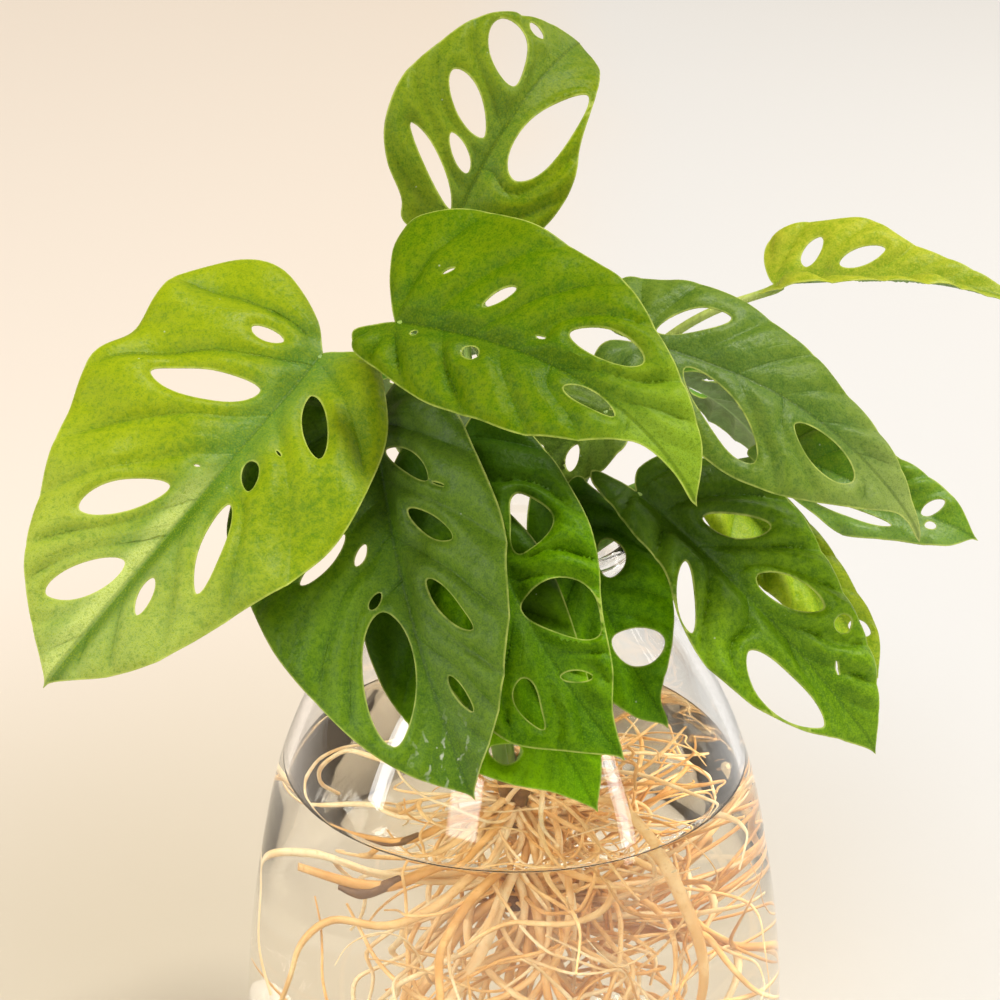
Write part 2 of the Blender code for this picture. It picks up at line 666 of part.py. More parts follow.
def blade_cells(blade, rings):
    """Points inside the blade that let it bend: along the midrib, and in rows to both sides of it."""
    ribs = [Vector((part * blade.length, 0.0)) for part in RIB_POINTS]
    cells = [spot for spot in ribs if not any(near(spot, ring, RIB_BORDER) for ring in rings)]
    rows = int(blade.length / CELL) + 2
    for row in range(-1, rows):
        for column in range(-CELL_COLUMNS, CELL_COLUMNS + 1):
            shift = CELL * 0.5 * (row % 2)
            spot = Vector((row * CELL, column * CELL + math.copysign(shift, column)))
            covered = inside(spot, rings[0]) and not any(inside(spot, ring) for ring in rings[1:])
            if column != 0 and covered and not any(near(spot, ring, BORDER) for ring in rings):
                cells.append(spot)
    return cells


def build_leaf(name, blade, material, collection):
    """One blade: its flat outline with its holes, laid on its curved surface and given a thickness."""
    rings = [blade.outline()]
    rings += [blade.hole(hole) for hole in blade.leaf["holes"]]
    coords, edges = [], []
    for ring in rings:
        base = len(coords)
        coords += ring
        edges += [(base + i, base + (i + 1) % len(ring)) for i in range(len(ring))]
    coords += blade_cells(blade, rings)
    flat, _, triangles, _, _, _ = geometry.delaunay_2d_cdt(coords, edges, [], 0, 1e-5)
    kept = []
    for triangle in triangles:
        middle = sum((flat[i] for i in triangle), Vector((0.0, 0.0))) / 3
        if inside(middle, rings[0]) and not any(inside(middle, ring) for ring in rings[1:]):
            kept.append(triangle)
    work = bmesh.new()
    spots = [work.verts.new((blade.point(*spot) - blade.heel) * MM) for spot in flat]
    for triangle in kept:
        work.faces.new([spots[i] for i in triangle])
    bmesh.ops.delete(work, geom=[vert for vert in work.verts if not vert.link_faces], context="VERTS")
    mesh = bpy.data.meshes.new(name)
    work.verts.index_update()
    ribs = [vert.index for vert, spot in zip(spots, flat) if vert.is_valid and abs(spot.y) < 0.05]
    work.to_mesh(mesh)
    work.free()
    obj = add_object(name, mesh, material, collection)
    obj.location = blade.heel * MM
    rib = obj.vertex_groups.new(name="midrib")
    rib.add(ribs, 1.0, "REPLACE")
    shell = obj.modifiers.new("Thickness", "SOLIDIFY")
    shell.thickness = RIB_THICKNESS * MM
    shell.vertex_group = "midrib"
    shell.thickness_vertex_group = BLADE_THICKNESS / RIB_THICKNESS
    shell.offset = -1.0
    shade_smooth(obj)


def main():
    for obj in list(bpy.data.objects):
        bpy.data.objects.remove(obj)
    plant = bpy.data.collections.new("Monstera adansonii")
    cutters = bpy.data.collections.new("Cutters")
    bpy.context.scene.collection.children.link(plant)
    bpy.context.scene.collection.children.link(cutters)
    blades = {name: Blade(leaf, number) for number, (name, leaf) in enumerate(LEAVES.items())}
    build_vase(plant)
    build_roots(plant)
    build_water(plant, cutters)
    for name, vine in VINES.items():
        green = make_material(name + " green", (0.3, 0.42, 0.1), 0.45)
        build_vine(name, vine, blades, green, plant)
    for name, blade in blades.items():
        green = make_material(name + " green", (0.12, 0.3, 0.04), 0.4)
        build_leaf(name, blade, green, plant)


main()
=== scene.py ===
"""The looks of a monstera adansonii: four cuttings that root in a clear glass vase of water.

The sizes of the plant and the vase are in millimetres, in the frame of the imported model, and MM turns them
into the scene's metres. The floor, the lights, the welds and the depths of fine relief are in scene units.
"""

import math
import random

import bpy
import numpy as np
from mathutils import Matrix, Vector, geometry


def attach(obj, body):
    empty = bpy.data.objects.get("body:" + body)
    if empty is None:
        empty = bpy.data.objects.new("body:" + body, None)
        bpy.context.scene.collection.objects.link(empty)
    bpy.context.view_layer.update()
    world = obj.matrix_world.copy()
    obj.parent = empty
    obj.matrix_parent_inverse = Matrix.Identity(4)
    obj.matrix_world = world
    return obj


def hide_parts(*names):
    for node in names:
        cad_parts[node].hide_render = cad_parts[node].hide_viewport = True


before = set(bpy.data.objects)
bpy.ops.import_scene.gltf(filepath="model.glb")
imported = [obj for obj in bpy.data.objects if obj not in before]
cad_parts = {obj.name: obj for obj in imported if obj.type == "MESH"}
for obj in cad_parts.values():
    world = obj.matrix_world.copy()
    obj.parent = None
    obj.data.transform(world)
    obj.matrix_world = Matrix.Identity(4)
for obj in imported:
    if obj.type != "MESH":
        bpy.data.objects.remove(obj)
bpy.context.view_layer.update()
bpy.ops.object.select_all(action="DESELECT")
MM = 0.001


# The camera looks down on the front of the plant through a long lens, from a little above it. It takes in
# the leaves and the upper half of the vase.
CAMERA_AIM = Vector((-4.4, 0.0, 229.3)) * MM
CAMERA_DISTANCE = 685.0 * MM
CAMERA_TILT = math.radians(23.0)
CAMERA_LENS = 85.0
CAMERA_SENSOR = 36.0

camera_offset = Vector((0.0, -math.cos(CAMERA_TILT), math.sin(CAMERA_TILT))) * CAMERA_DISTANCE
bpy.ops.object.camera_add(
    location=CAMERA_AIM + camera_offset, rotation=(math.radians(90.0) - CAMERA_TILT, 0.0, 0.0)
)
camera = bpy.context.object
camera.name = "camera"
camera.data.lens = CAMERA_LENS
camera.data.sensor_width = CAMERA_SENSOR
bpy.context.scene.camera = camera
bpy.context.scene.view_settings.view_transform = "Standard"


# The floor is one wide sheet of pale, matt painted board, which also closes the view behind the plant. It is
# the stage and no part of the object. Its paint is warmer on the left, and near the vase it carries a
# painted shadow.
FLOOR_SIZE = 14.0
FLOOR_TURN = (0.0, 0.25)
FLOOR_CLOUDS = 0.2
FLOOR_SHADE_REACH = 0.45
FLOOR_RIGHT = (0.61, 0.635, 0.665)
FLOOR_LEFT = (0.655, 0.612, 0.565)
FLOOR_PAINTED_SHADOW = (0.485, 0.438, 0.348)
FLOOR_SHADOW_MIDDLE = (-0.12, 0.09, 0.0)


def new_material(name):
    """A material with its Principled shader, and the node tree to add to."""
    material = bpy.data.materials.new(name)
    material.use_nodes = True
    return material, material.node_tree, material.node_tree.nodes["Principled BSDF"]


def feed(tree, node, inputs):
    """Sets inputs of a node, each to a value or to another node's output."""
    for key, value in inputs.items():
        if isinstance(value, bpy.types.NodeSocket):
            tree.links.new(value, node.inputs[key])
        else:
            node.inputs[key].default_value = value


def add_node(tree, kind, inputs=(), **settings):
    """A shader node with its settings and inputs."""
    node = tree.nodes.new("ShaderNode" + kind)
    for key, value in settings.items():
        setattr(node, key, value)
    feed(tree, node, dict(inputs))
    return node


def mixed(tree, factor, first, second):
    """A colour between two, as the factor says."""
    first = (*first, 1.0) if isinstance(first, tuple) else first
    second = (*second, 1.0) if isinstance(second, tuple) else second
    return add_node(tree, "Mix", {0: factor, 6: first, 7: second}, data_type="RGBA").outputs[2]


def math_node(tree, operation, first, second=0.0, third=0.0, clamp=False):
    inputs = {0: first, 1: second, 2: third}
    return add_node(tree, "Math", inputs, operation=operation, use_clamp=clamp).outputs[0]


def noise(tree, place, scale, detail=2.0):
    """A soft random value from 0 to 1 at each place."""
    return add_node(tree, "TexNoise", {"Vector": place, "Scale": scale, "Detail": detail}).outputs["Fac"]


def ramp(tree, value, low, high, start=0.0, end=1.0):
    """A smooth step of the value from `start` at `low` to `end` at `high`."""
    inputs = {"Value": value, "From Min": low, "From Max": high, "To Min": start, "To Max": end}
    return add_node(tree, "MapRange", inputs, interpolation_type="SMOOTHSTEP").outputs[0]


bpy.ops.mesh.primitive_plane_add(size=FLOOR_SIZE, location=(0.0, 0.0, 0.0))
floor = bpy.context.object
floor.name = "floor"
floor_paint, tree, shader = new_material("floor paint")
place = add_node(tree, "TexCoord").outputs["Object"]
across = add_node(tree, "SeparateXYZ", {0: place}).outputs["X"]
along = math_node(tree, "MULTIPLY_ADD", noise(tree, place, scale=1.6), FLOOR_CLOUDS, across)
color = mixed(tree, ramp(tree, along, *FLOOR_TURN), FLOOR_LEFT, FLOOR_RIGHT)
# The floor is darker round a point near the vase: a painted shadow, which fades out over the shade's reach.
away = add_node(tree, "VectorMath", {0: place, 1: FLOOR_SHADOW_MIDDLE}, operation="DISTANCE").outputs["Value"]
color = mixed(tree, ramp(tree, away, 0.0, FLOOR_SHADE_REACH), FLOOR_PAINTED_SHADOW, color)
feed(tree, shader, {"Base Color": color, "Roughness": 0.9})
floor.data.materials.append(floor_paint)


# The light is a bright, soft room: a sky that is warm and pale at the horizon, a broad sun from high on the
# right, and a window behind on the right that lights the leaves' edges. Three narrow windows draw streaks on
# the glass.
HORIZON_LIGHT = (0.50, 0.39, 0.28)
ZENITH_LIGHT = (0.33, 0.245, 0.16)
SUN_COLOR = (1.0, 0.96, 0.89)
SUN_STRENGTH = 2.95
SUN_WIDTH = math.radians(16.0)
SUN_FROM = Vector((0.42, 0.02, 1.15))
SKY_RISE = (0.05, 0.7)
WINDOWS = (
    ("window back right", (1.4, 1.0, 1.2), (1.0, 1.0), 9.0, (1.0, 0.97, 0.93)),
    ("window tall left", (-1.3, -0.45, 0.85), (0.2, 1.1), 7.0, (0.97, 0.98, 1.0)),
    ("window tall right", (1.0, -0.75, 0.75), (0.14, 1.1), 3.5, (0.96, 0.98, 1.0)),
    ("window front", (-0.72, -1.5, 1.2), (0.5, 1.5), 12.0, (0.95, 0.98, 1.0)),
)
WINDOW_AIM = Vector((0.0, 0.0, 0.2))

sky = bpy.data.worlds.new("sky")
sky.use_nodes = True
tree = sky.node_tree
height = add_node(tree, "SeparateXYZ", {0: add_node(tree, "TexCoord").outputs["Generated"]}).outputs["Z"]
glow = mixed(tree, ramp(tree, height, *SKY_RISE), HORIZON_LIGHT, ZENITH_LIGHT)
feed(tree, tree.nodes["Background"], {"Color": glow})
bpy.context.scene.world = sky
bpy.ops.object.light_add(type="SUN", location=SUN_FROM, rotation=SUN_FROM.to_track_quat("Z", "Y").to_euler())
sun = bpy.context.object
sun.name = "sun"
sun.data.energy = SUN_STRENGTH
sun.data.angle = SUN_WIDTH
sun.data.color = SUN_COLOR
for name, spot, size, power, color in WINDOWS:
    spot = Vector(spot)
    turn = (WINDOW_AIM - spot).to_track_quat("-Z", "Y").to_euler()
    bpy.ops.object.light_add(type="AREA", location=spot, rotation=turn)
    window = bpy.context.object
    window.name = name
    window.data.shape = "RECTANGLE"
    window.data.size, window.data.size_y = size
    window.data.energy = power
    window.data.color = color


# The vase is one bottle of clear blown glass with a narrow neck, a lip that was rolled outwards while hot,
# and a thick base. It is turned: one profile runs up the inside, over the lip, down the outside and under
# the base, and is spun round +Z.
VASE_HEIGHT = 222.0
OUTER_SIDE = (
    (8, 34.5), (16, 36), (28, 44), (42, 54.5), (60, 64.5), (80, 72), (105, 77.5), (130, 81.5), (150, 83.5),
    (168, 84), (186, 82), (202, 76), (214, 67.5), (219.5, 62.5), (222, 56),
)
RIM_RADIUS = 37.0
LIP = 2.2
WALL = 3.5
BASE_THICKNESS = 9.0
FLOOR_ROUND = 6.0
PUNT_RADIUS = 48.0
PUNT_RISE = 1.2
LIP_START = math.radians(225.0)
LIP_TURN = math.radians(270.0)
LIP_STEPS = 14
SIDE_PARTS = 6
TURN_STEPS = 144
GLASS_IOR = 1.48
GLASS_TINT = (0.985, 0.99, 0.985)
SHADOW_TINT = (0.99, 0.98, 0.97)
GLASS_SMEARS = 0.03
GLASS_RIPPLES = (9.0, 0.0006)
SMEAR_EDGES = (0.45, 0.75)
TURNED_EDGE = math.radians(40.0)
TURNED_WELD = 0.00002


def smooth_line(points, parts):
    """A centripetal Catmull-Rom line through points of any size, with `parts` steps in each stretch."""
    first, last = points[0] * 2 - points[1], points[-1] * 2 - points[-2]
    padded = [first, *points, last]
    line = []
    for before, start, end, after in zip(padded, padded[1:], padded[2:], padded[3:]):
        pairs = ((before, start), (start, end), (end, after))
        gaps = [math.sqrt(max((b - a).length, 1e-6)) for a, b in pairs]
        leave = (start - before) / gaps[0] - (end - before) / (gaps[0] + gaps[1]) + (end - start) / gaps[1]
        arrive = (end - start) / gaps[1] - (after - start) / (gaps[1] + gaps[2]) + (after - end) / gaps[2]
        leave *= gaps[1]
        arrive *= gaps[1]
        for step in range(parts):
            t = step / parts
            line.append(
                start * (2 * t**3 - 3 * t**2 + 1)
                + leave * (t**3 - 2 * t**2 + t)
                + end * (3 * t**2 - 2 * t**3)
                + arrive * (t**3 - t**2)
            )
    return [*line, points[-1].copy()]


def outer_side():
    return [Vector((radius, VASE_HEIGHT - below)) for below, radius in OUTER_SIDE]


def inner_side(inset, parts):
    """The outside of the glass moved in by `inset`, from the neck down to the inner floor."""
    side = smooth_line(outer_side()[:-2], parts)
    floor_height = BASE_THICKNESS + inset - WALL
    moved = []
    for before, here, after in zip(side, side[1:], side[2:]):
        along = after - before
        point = here + Vector((along.y, -along.x)).normalized() * inset
        if point.y > floor_height + FLOOR_ROUND / 2:
            moved.append(point)
    corner = moved[-1].x - FLOOR_ROUND
    return [*moved, Vector((corner, floor_height))]


def weld(threshold):
    """Merges the doubles of the active mesh, and turns its faces outwards."""
    bpy.ops.object.mode_set(mode="EDIT")
    bpy.ops.mesh.select_all(action="SELECT")
    bpy.ops.mesh.remove_doubles(threshold=threshold)
    bpy.ops.mesh.normals_make_consistent(inside=False)
    bpy.ops.object.mode_set(mode="OBJECT")


def turn_profile(name, profile):
    """A profile of (radius, height) points, drawn by extruding one vertex and spun round +Z."""
    bpy.ops.mesh.primitive_plane_add(size=MM, location=(0.0, 0.0, 0.0))
    piece = bpy.context.object
    piece.name = name
    bpy.ops.object.mode_set(mode="EDIT")
    bpy.ops.mesh.merge(type="CENTER")
    bpy.ops.transform.translate(value=(profile[0].x * MM, 0.0, profile[0].y * MM))
    for before, here in zip(profile, profile[1:]):
        step = (here - before) * MM
        bpy.ops.mesh.extrude_vertices_move(TRANSFORM_OT_translate={"value": (step.x, 0.0, step.y)})
    bpy.ops.mesh.select_all(action="SELECT")
    bpy.ops.mesh.spin(steps=TURN_STEPS, angle=math.tau, center=(0.0, 0.0, 0.0), axis=(0.0, 0.0, 1.0))
    weld(TURNED_WELD)
    bpy.ops.object.transform_apply(location=True, rotation=True, scale=True)
    bpy.ops.object.shade_smooth_by_angle(angle=TURNED_EDGE)
    return piece


def add_bump(tree, shader, height, strength, depth):
    """Shades the surface as if it were raised by the height, up to the depth in metres."""
    bump = add_node(tree, "Bump", {"Height": height, "Strength": strength, "Distance": depth})
    feed(tree, shader, {"Normal": bump.outputs["Normal"]})


def clear_material(name, tint, ior, roughness, ripples):
    """A clear refracting body with faint smears and ripples. It lets light through to what stands in it."""
    material, tree, shader = new_material(name)
    place = add_node(tree, "TexCoord").outputs["Object"]
    smear = noise(tree, place, scale=28.0, detail=1.0)
    smear = ramp(tree, smear, *SMEAR_EDGES, roughness / 4, roughness)
    feed(tree, shader, {
        "Base Color": (*tint, 1.0), "IOR": ior, "Roughness": smear, "Transmission Weight": 1.0,
    })
    stretch = add_node(tree, "Mapping", {"Vector": place, "Scale": (1.0, 1.0, 0.45)}).outputs[0]
    scale, depth = ripples
    add_bump(tree, shader, noise(tree, stretch, scale, detail=1.0), 1.0, depth)
    passing = add_node(tree, "BsdfTransparent", {"Color": (*SHADOW_TINT, 1.0)})
    shadow = add_node(tree, "LightPath").outputs["Is Shadow Ray"]
    both = add_node(tree, "MixShader", {0: shadow, 1: shader.outputs[0], 2: passing.outputs[0]})
    feed(tree, tree.nodes["Material Output"], {"Surface": both.outputs[0]})
    return material


lip = []
for step in range(LIP_STEPS + 1):
    angle = LIP_START - LIP_TURN * step / LIP_STEPS
    lip.append(Vector((RIM_RADIUS - LIP + LIP * math.cos(angle), VASE_HEIGHT - LIP + LIP * math.sin(angle))))
foot = [Vector((PUNT_RADIUS, 0.0)), Vector((PUNT_RADIUS * 0.8, PUNT_RISE)), Vector((0.0, PUNT_RISE))]
glass_profile = [Vector((0.0, BASE_THICKNESS))]
glass_profile += reversed(inner_side(WALL, SIDE_PARTS))
glass_profile += lip + smooth_line(outer_side(), SIDE_PARTS) + foot
vase = turn_profile("glass_vase", glass_profile)
vase.data.materials.append(clear_material("vase glass", GLASS_TINT, GLASS_IOR, GLASS_SMEARS, GLASS_RIPPLES))
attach(vase, "root")
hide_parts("vase")


# The water fills the vase to its shoulder and creeps a little way up the glass all round. It reaches a
# hair's breadth into the wall, so that no film of air shows between the two.
WATER_LEVEL = VASE_HEIGHT - 78.0
WATER_SMEARS = 0.004
WATER_RIPPLES = (14.0, 0.0003)
WATER_IOR = 1.333
WATER_TINT = (0.966, 0.92, 0.838)
WATER_INSET = WALL - 0.25
MENISCUS = ((9.0, 0.0), (5.0, 0.15), (2.6, 0.6), (1.1, 1.4), (0.3, 2.3))

side = inner_side(WATER_INSET, SIDE_PARTS)
wet = [point for point in side if point.y < WATER_LEVEL]
above = side[len(side) - len(wet) - 1]
part = (WATER_LEVEL - wet[0].y) / (above.y - wet[0].y)
edge_radius = wet[0].x + (above.x - wet[0].x) * part
water_profile = [Vector((0.0, WATER_LEVEL)), Vector((edge_radius / 2, WATER_LEVEL))]
water_profile += [Vector((edge_radius - inward, WATER_LEVEL + rise)) for inward, rise in MENISCUS]
water_profile += [*wet, Vector((0.0, wet[-1].y))]
water = turn_profile("vase_water", water_profile)
water.data.materials.append(
    clear_material("still water", WATER_TINT, WATER_IOR, WATER_SMEARS, WATER_RIPPLES)
)
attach(water, "root")
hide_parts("water")


# The roots are a loose tangle of pale tan water roots. The thick ones grow from the brown stubs of the four
# cuttings, spread to the glass and turn along it, and finer ones branch off them and curl.
STUB_TOP = 137.0
CROWN = (0.0, -2.0, 106.0)
STUB_RADIUS = 2.5
STUB_RISE = 0.4
STUB_SAG = 3.0
STUB_BELOW_CROWN = 6.0
STUB_TOPS = ((-3.0, -5.0), (-2.0, 4.0), (3.0, 3.0), (3.0, -6.0))
ROOT_COUNT = 12
ROOT_TURN = 137.5
ROOT_TIERS = 4
ROOT_TIER_STEP = 6.0
ROOT_RADIUS = (1.5, 0.8)
ROOT_STEPS = 8
ROOT_STEP = 15.5
ROOT_FIRST_SLOPE = (-1.1, 0.1)
ROOT_WANDER = 0.5
ROOT_SINK = (-0.55, 0.25)
ROOT_WALL_CLEARANCE = 6.0
ROOT_WALL_REACH = 24.0
ROOT_SEED = 7
FINE_SEED = 23
FINE_ROOTS = 44
FINE_STEP = 8.0
FINE_SINK = 0.10
FINE_WANDER = 0.6
FINE_CURL = 0.55
FINE_CLEARANCE = 4.0
FINE_TURN_BACK = 0.8
FINE_LEAVING = 0.6
FINE_WIDTHS = (0.45, 0.55, 0.65, 0.8, 1.0)
BARE_CORNER = (-20.0, 100.0)
CROWN_ROOTS = 64
CROWN_REACH = 40.0
CROWN_SPREAD = 6.0
CROWN_TOP = 16.0
TUFT_SPREAD = 18.0
STOUT_ROOTS = (
    (
        "root tan", (1.2, 1.8, 1.9, 1.5, 1.0),
        ((2, -4, 110), (28, -12, 128), (42, -24, 112), (48, -26, 88), (38, -20, 50)),
    ),
    ("root straw", (1.3, 1.6, 1.5, 1.1), ((0, -8, 116), (-8, -25, 98), (-22, -32, 74), (-34, -32, 48))),
    ("root amber", (0.9, 1.5, 1.7, 1.2), ((-2, -6, 112), (-16, -16, 122), (-32, -27, 119), (-58, -25, 122))),
    (
        "root brown", (1.0, 1.9, 1.7, 1.1),
        ((-45, -27, 118), (-39, -28, 117), (-33, -27.5, 119), (-28, -25, 121)),
    ),
)
STRAND_WELD = 0.00001
STRAND_EDGE = math.radians(60.0)
ROOT_MOTTLE = (0.36, 0.66)
ROOT_SPECKS = (0.30, 0.45, 0.7, 0.0)
ROOT_RELIEF = (0.6, 0.0003)
ROOT_TUFTS = (
    ((54, 4, 122), 5, 30),
    ((22, 48, 122), 5, 18),
    ((48, -6, 98), 6, 28),
    ((8, -24, 76), 7, 22),
    ((-46, -10, 50), 4, 8),
)
ROOT_TONES = {
    "root straw": ((0.88, 0.60, 0.27), (0.98, 0.82, 0.50)),
    "root tan": ((0.80, 0.46, 0.15), (0.96, 0.68, 0.31)),
    "root amber": ((0.68, 0.34, 0.08), (0.88, 0.52, 0.18)),
    "root brown": ((0.14, 0.06, 0.015), (0.36, 0.17, 0.045)),
}


def kept_in(ahead, side, clearance):
    """The point, moved in to stay clear of the glass and of the vase's floor."""
    walls = [radius for radius, height in side if abs(height - ahead.z) < ROOT_WALL_REACH]
    room = min(walls) - clearance
    flat = Vector((ahead.x, ahead.y, 0.0))
    if flat.length > room:
        flat *= room / flat.length
    return Vector((flat.x, flat.y, max(ahead.z, BASE_THICKNESS + clearance)))


def coarse_side():
    """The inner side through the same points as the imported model's, which its roots were led along."""
    return [(point.x, point.y) for point in inner_side(WALL, 1)]


def root_lines():
    """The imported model's thick roots. Each leaves the crown, spreads, sinks and turns along the glass."""
    random.seed(ROOT_SEED)
    side = coarse_side()
    lines = []
    for index in range(ROOT_COUNT):
        turn = index * math.radians(ROOT_TURN)
        point = Vector((CROWN[0], CROWN[1], CROWN[2] + (index % ROOT_TIERS) * ROOT_TIER_STEP))
        heading = Vector((math.cos(turn), math.sin(turn), random.uniform(*ROOT_FIRST_SLOPE))).normalized()
        line = [point.copy()]
        for _ in range(ROOT_STEPS):
            turn_x = random.uniform(-ROOT_WANDER, ROOT_WANDER)
            turn_y = random.uniform(-ROOT_WANDER, ROOT_WANDER)
            heading += Vector((turn_x, turn_y, random.uniform(*ROOT_SINK)))
            heading.normalize()
            ahead = kept_in(point + heading * ROOT_STEP, side, ROOT_WALL_CLEARANCE)
            heading = (ahead - point).normalized()
            point = ahead
            line.append(point.copy())
        lines.append(line)
    return lines


def scattered(spread):
    """A random offset, up to the spread along each axis."""
    return Vector([random.uniform(-spread, spread) for _ in range(3)])


def fine_root(start, heading, steps, side, reach=math.inf, sink=FINE_SINK):
    """A thin root that curls: its bend changes slowly, so that it loops instead of shaking."""
    bend = scattered(1.0)
    point = start.copy()
    line = [point.copy()]
    for _ in range(steps):
        bend = (bend + scattered(FINE_WANDER)).normalized()
        heading = (heading + bend * FINE_CURL - Vector((0.0, 0.0, sink))).normalized()
        ahead = kept_in(point + heading * FINE_STEP, side, FINE_CLEARANCE)
        if math.hypot(ahead.x, ahead.y) > reach:
            heading -= Vector((ahead.x, ahead.y, 0.0)).normalized() * FINE_TURN_BACK
            ahead = kept_in(point + heading.normalized() * FINE_STEP, side, FINE_CLEARANCE)
        ahead.z = min(ahead.z, WATER_LEVEL - FINE_CLEARANCE)
        heading = (ahead - point + heading * 0.01).normalized()
        point = ahead
        line.append(point.copy())
    return line


def add_strand(curve, line, radii, material_index, parts):
    """One more closed round strand in the curve object, through the line's points."""
    smooth = smooth_line(line, parts)
    spline = curve.splines.new("POLY")
    spline.points.add(len(smooth) - 1)
    spline.material_index = material_index
    last = len(smooth) - 1
    for i, (spot, point) in enumerate(zip(spline.points, smooth)):
        spot.co = (*(point * MM), 1.0)
        place = i / last * (len(radii) - 1)
        low = min(int(place), len(radii) - 2)
        spot.radius = radii[low] + (radii[low + 1] - radii[low]) * (place - low)


def new_strands(name, resolution):
    """An empty curve object whose strands are round and closed at both ends."""
    curve = bpy.data.curves.new(name, "CURVE")
    curve.dimensions = "3D"
    curve.bevel_depth = MM
    curve.bevel_resolution = resolution
    curve.use_fill_caps = True
    piece = bpy.data.objects.new(name, curve)
    bpy.context.scene.collection.objects.link(piece)
    return piece, curve


def pick(piece):
    """Selects the piece alone and makes it the active one."""
    bpy.ops.object.select_all(action="DESELECT")
    bpy.context.view_layer.objects.active = piece
    piece.select_set(True)


def made_mesh(piece):
    """Turns the curve object into a mesh, with its caps welded and shaded smooth."""
    pick(piece)
    bpy.ops.object.convert(target="MESH")
    weld(STRAND_WELD)
    bpy.ops.object.shade_smooth_by_angle(angle=STRAND_EDGE)


def root_material(name, dark, light):
    """Root bark: mottled along and across, with small dark specks and a wet satin skin."""
    material, tree, shader = new_material(name)
    place = add_node(tree, "TexCoord").outputs["Object"]
    patch = add_node(tree, "TexNoise", {"Vector": place, "Scale": 90.0, "Detail": 2.0, "Roughness": 0.6})
    grain = noise(tree, place, scale=900.0)
    color = mixed(tree, ramp(tree, patch.outputs["Fac"], *ROOT_MOTTLE), dark, light)
    color = mixed(tree, ramp(tree, grain, *ROOT_SPECKS), color, dark)
    feed(tree, shader, {"Base Color": color, "Roughness": 0.5})
    add_bump(tree, shader, grain, *ROOT_RELIEF)
    return material


def add_fine_root(line, thicker, end, tones):
    """A strand of one of the fine widths, made thicker by a factor and drawn out to its end."""
    width = random.choice(FINE_WIDTHS) * thicker
    add_strand(root_curve, line, (width, width * 0.9, width * end), random.choice(tones), 4)


roots, root_curve = new_strands("root_tangle", 2)
for name, (dark, light) in ROOT_TONES.items():
    root_curve.materials.append(root_material(name, dark, light))
thick_roots = root_lines()
for index, line in enumerate(thick_roots):
    add_strand(root_curve, line, ROOT_RADIUS, index % 3, 5)
crown = Vector(CROWN)
for x, y in STUB_TOPS:
    top = Vector((x, y, STUB_TOP))
    middle = top.lerp(crown, 0.5) - Vector((0.0, 0.0, STUB_SAG))
    stub = [top + Vector((0.0, 0.0, STUB_RISE)), middle, crown - Vector((0.0, 0.0, STUB_BELOW_CROWN))]
    add_strand(root_curve, stub, (STUB_RADIUS, STUB_RADIUS * 1.1, STUB_RADIUS, STUB_RADIUS * 0.9), 3, 6)
tones = list(ROOT_TONES)
for tone, radii, line in STOUT_ROOTS:
    add_strand(root_curve, [Vector(point) for point in line], radii, tones.index(tone), 10)
random.seed(FINE_SEED)
wall_side = coarse_side()
for index in range(FINE_ROOTS):
    host = thick_roots[index % ROOT_COUNT]
    joint = random.choice(range(0, ROOT_STEPS, 2 if index % 3 else 1))
    if host[joint].x < BARE_CORNER[0] and host[joint].z < BARE_CORNER[1]:
        continue
    along = (host[joint + 1] - host[joint]).normalized()
    heading = (along * FINE_LEAVING + scattered(1.0)).normalized()
    line = fine_root(host[joint], heading, random.randint(5, 13), wall_side)
    add_fine_root(line, 1.0, 0.35, (0, 0, 0, 1, 1, 2))
for index in range(CROWN_ROOTS):
    x, y = (random.uniform(-CROWN_SPREAD, CROWN_SPREAD) for _ in range(2))
    start = crown + Vector((x, y, random.uniform(-CROWN_SPREAD, CROWN_TOP)))
    x, y = (random.uniform(-1.0, 1.0) for _ in range(2))
    heading = Vector((x, y, random.uniform(-1.0, 0.1))).normalized()
    line = fine_root(start, heading, random.randint(6, 15), wall_side, CROWN_REACH)
    add_fine_root(line, 1.15, 0.4, (0, 0, 1, 1, 2))
joints = [point for line in thick_roots for point in line]
for middle, nearest, count in ROOT_TUFTS:
    joints.sort(key=lambda point: (point - Vector(middle)).length)
    for _ in range(count):
        start = random.choice(joints[:nearest])
        heading = (Vector(middle) - start + scattered(TUFT_SPREAD)).normalized()
        line = fine_root(start, heading, random.randint(6, 12), wall_side, sink=0.0)
        add_fine_root(line, 1.1, 0.4, (0, 1, 1, 2, 2))
made_mesh(roots)
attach(roots, "root")
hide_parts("roots")


# The sixteen blades are thin and leathery. Each one grows in one piece from the end of its stalk, with long
# holes between the side veins. It is cut flat from a fine sheet, thinned at its margins, and laid on its
# curved surface.
BLADE_THICKNESS = 0.6
RIM_SHARE = 0.35
RIM_REACH = 1.1
RIB_SAMPLES = 60
WAVE_HEIGHT = 0.9
WAVE_LENGTH = 31.0
WAVE_SHIFT = 1.7
DROOP_REACH = 30.0
CREASE_ROUND = 1.2
STATIONS = (0.0, 0.1, 0.2, 0.35, 0.5, 0.65, 0.8, 0.9)
LOBE_REACH = 0.78
LOBE_WIDTH = 0.535
OUTLINE_PARTS = 8
HOLE_POINTS = 44
HOLE_POINT = 0.15
HOLE_WOBBLE = 0.05
DRIP_TIP = (0.6, 0.9, 1.7)
TIP_CURL = (7.0, 0.03)
SHEET_CELL = 1.0
SHEET_MARGIN = 3.0
SQUEEZE = 0.55
SQUEEZE_REACH = 4.0
OUTLINE_WELD = 0.001
BLADE_WELD = 0.04
BLADE_EDGE = math.radians(50.0)
VEIN_COUNT = 7
VEIN_LEAN = (0.35, 2.0)
VEIN_CURL = 0.008
VEINS_BEFORE = 60.0
VEINS_BEYOND = 1.4
VEIN_BOW = 0.375
SAME_SPACE = 0.55
FAN_REACH = 20.0
HOLE_SKIRT = 1.2
WIDEST_GAP = 16.0
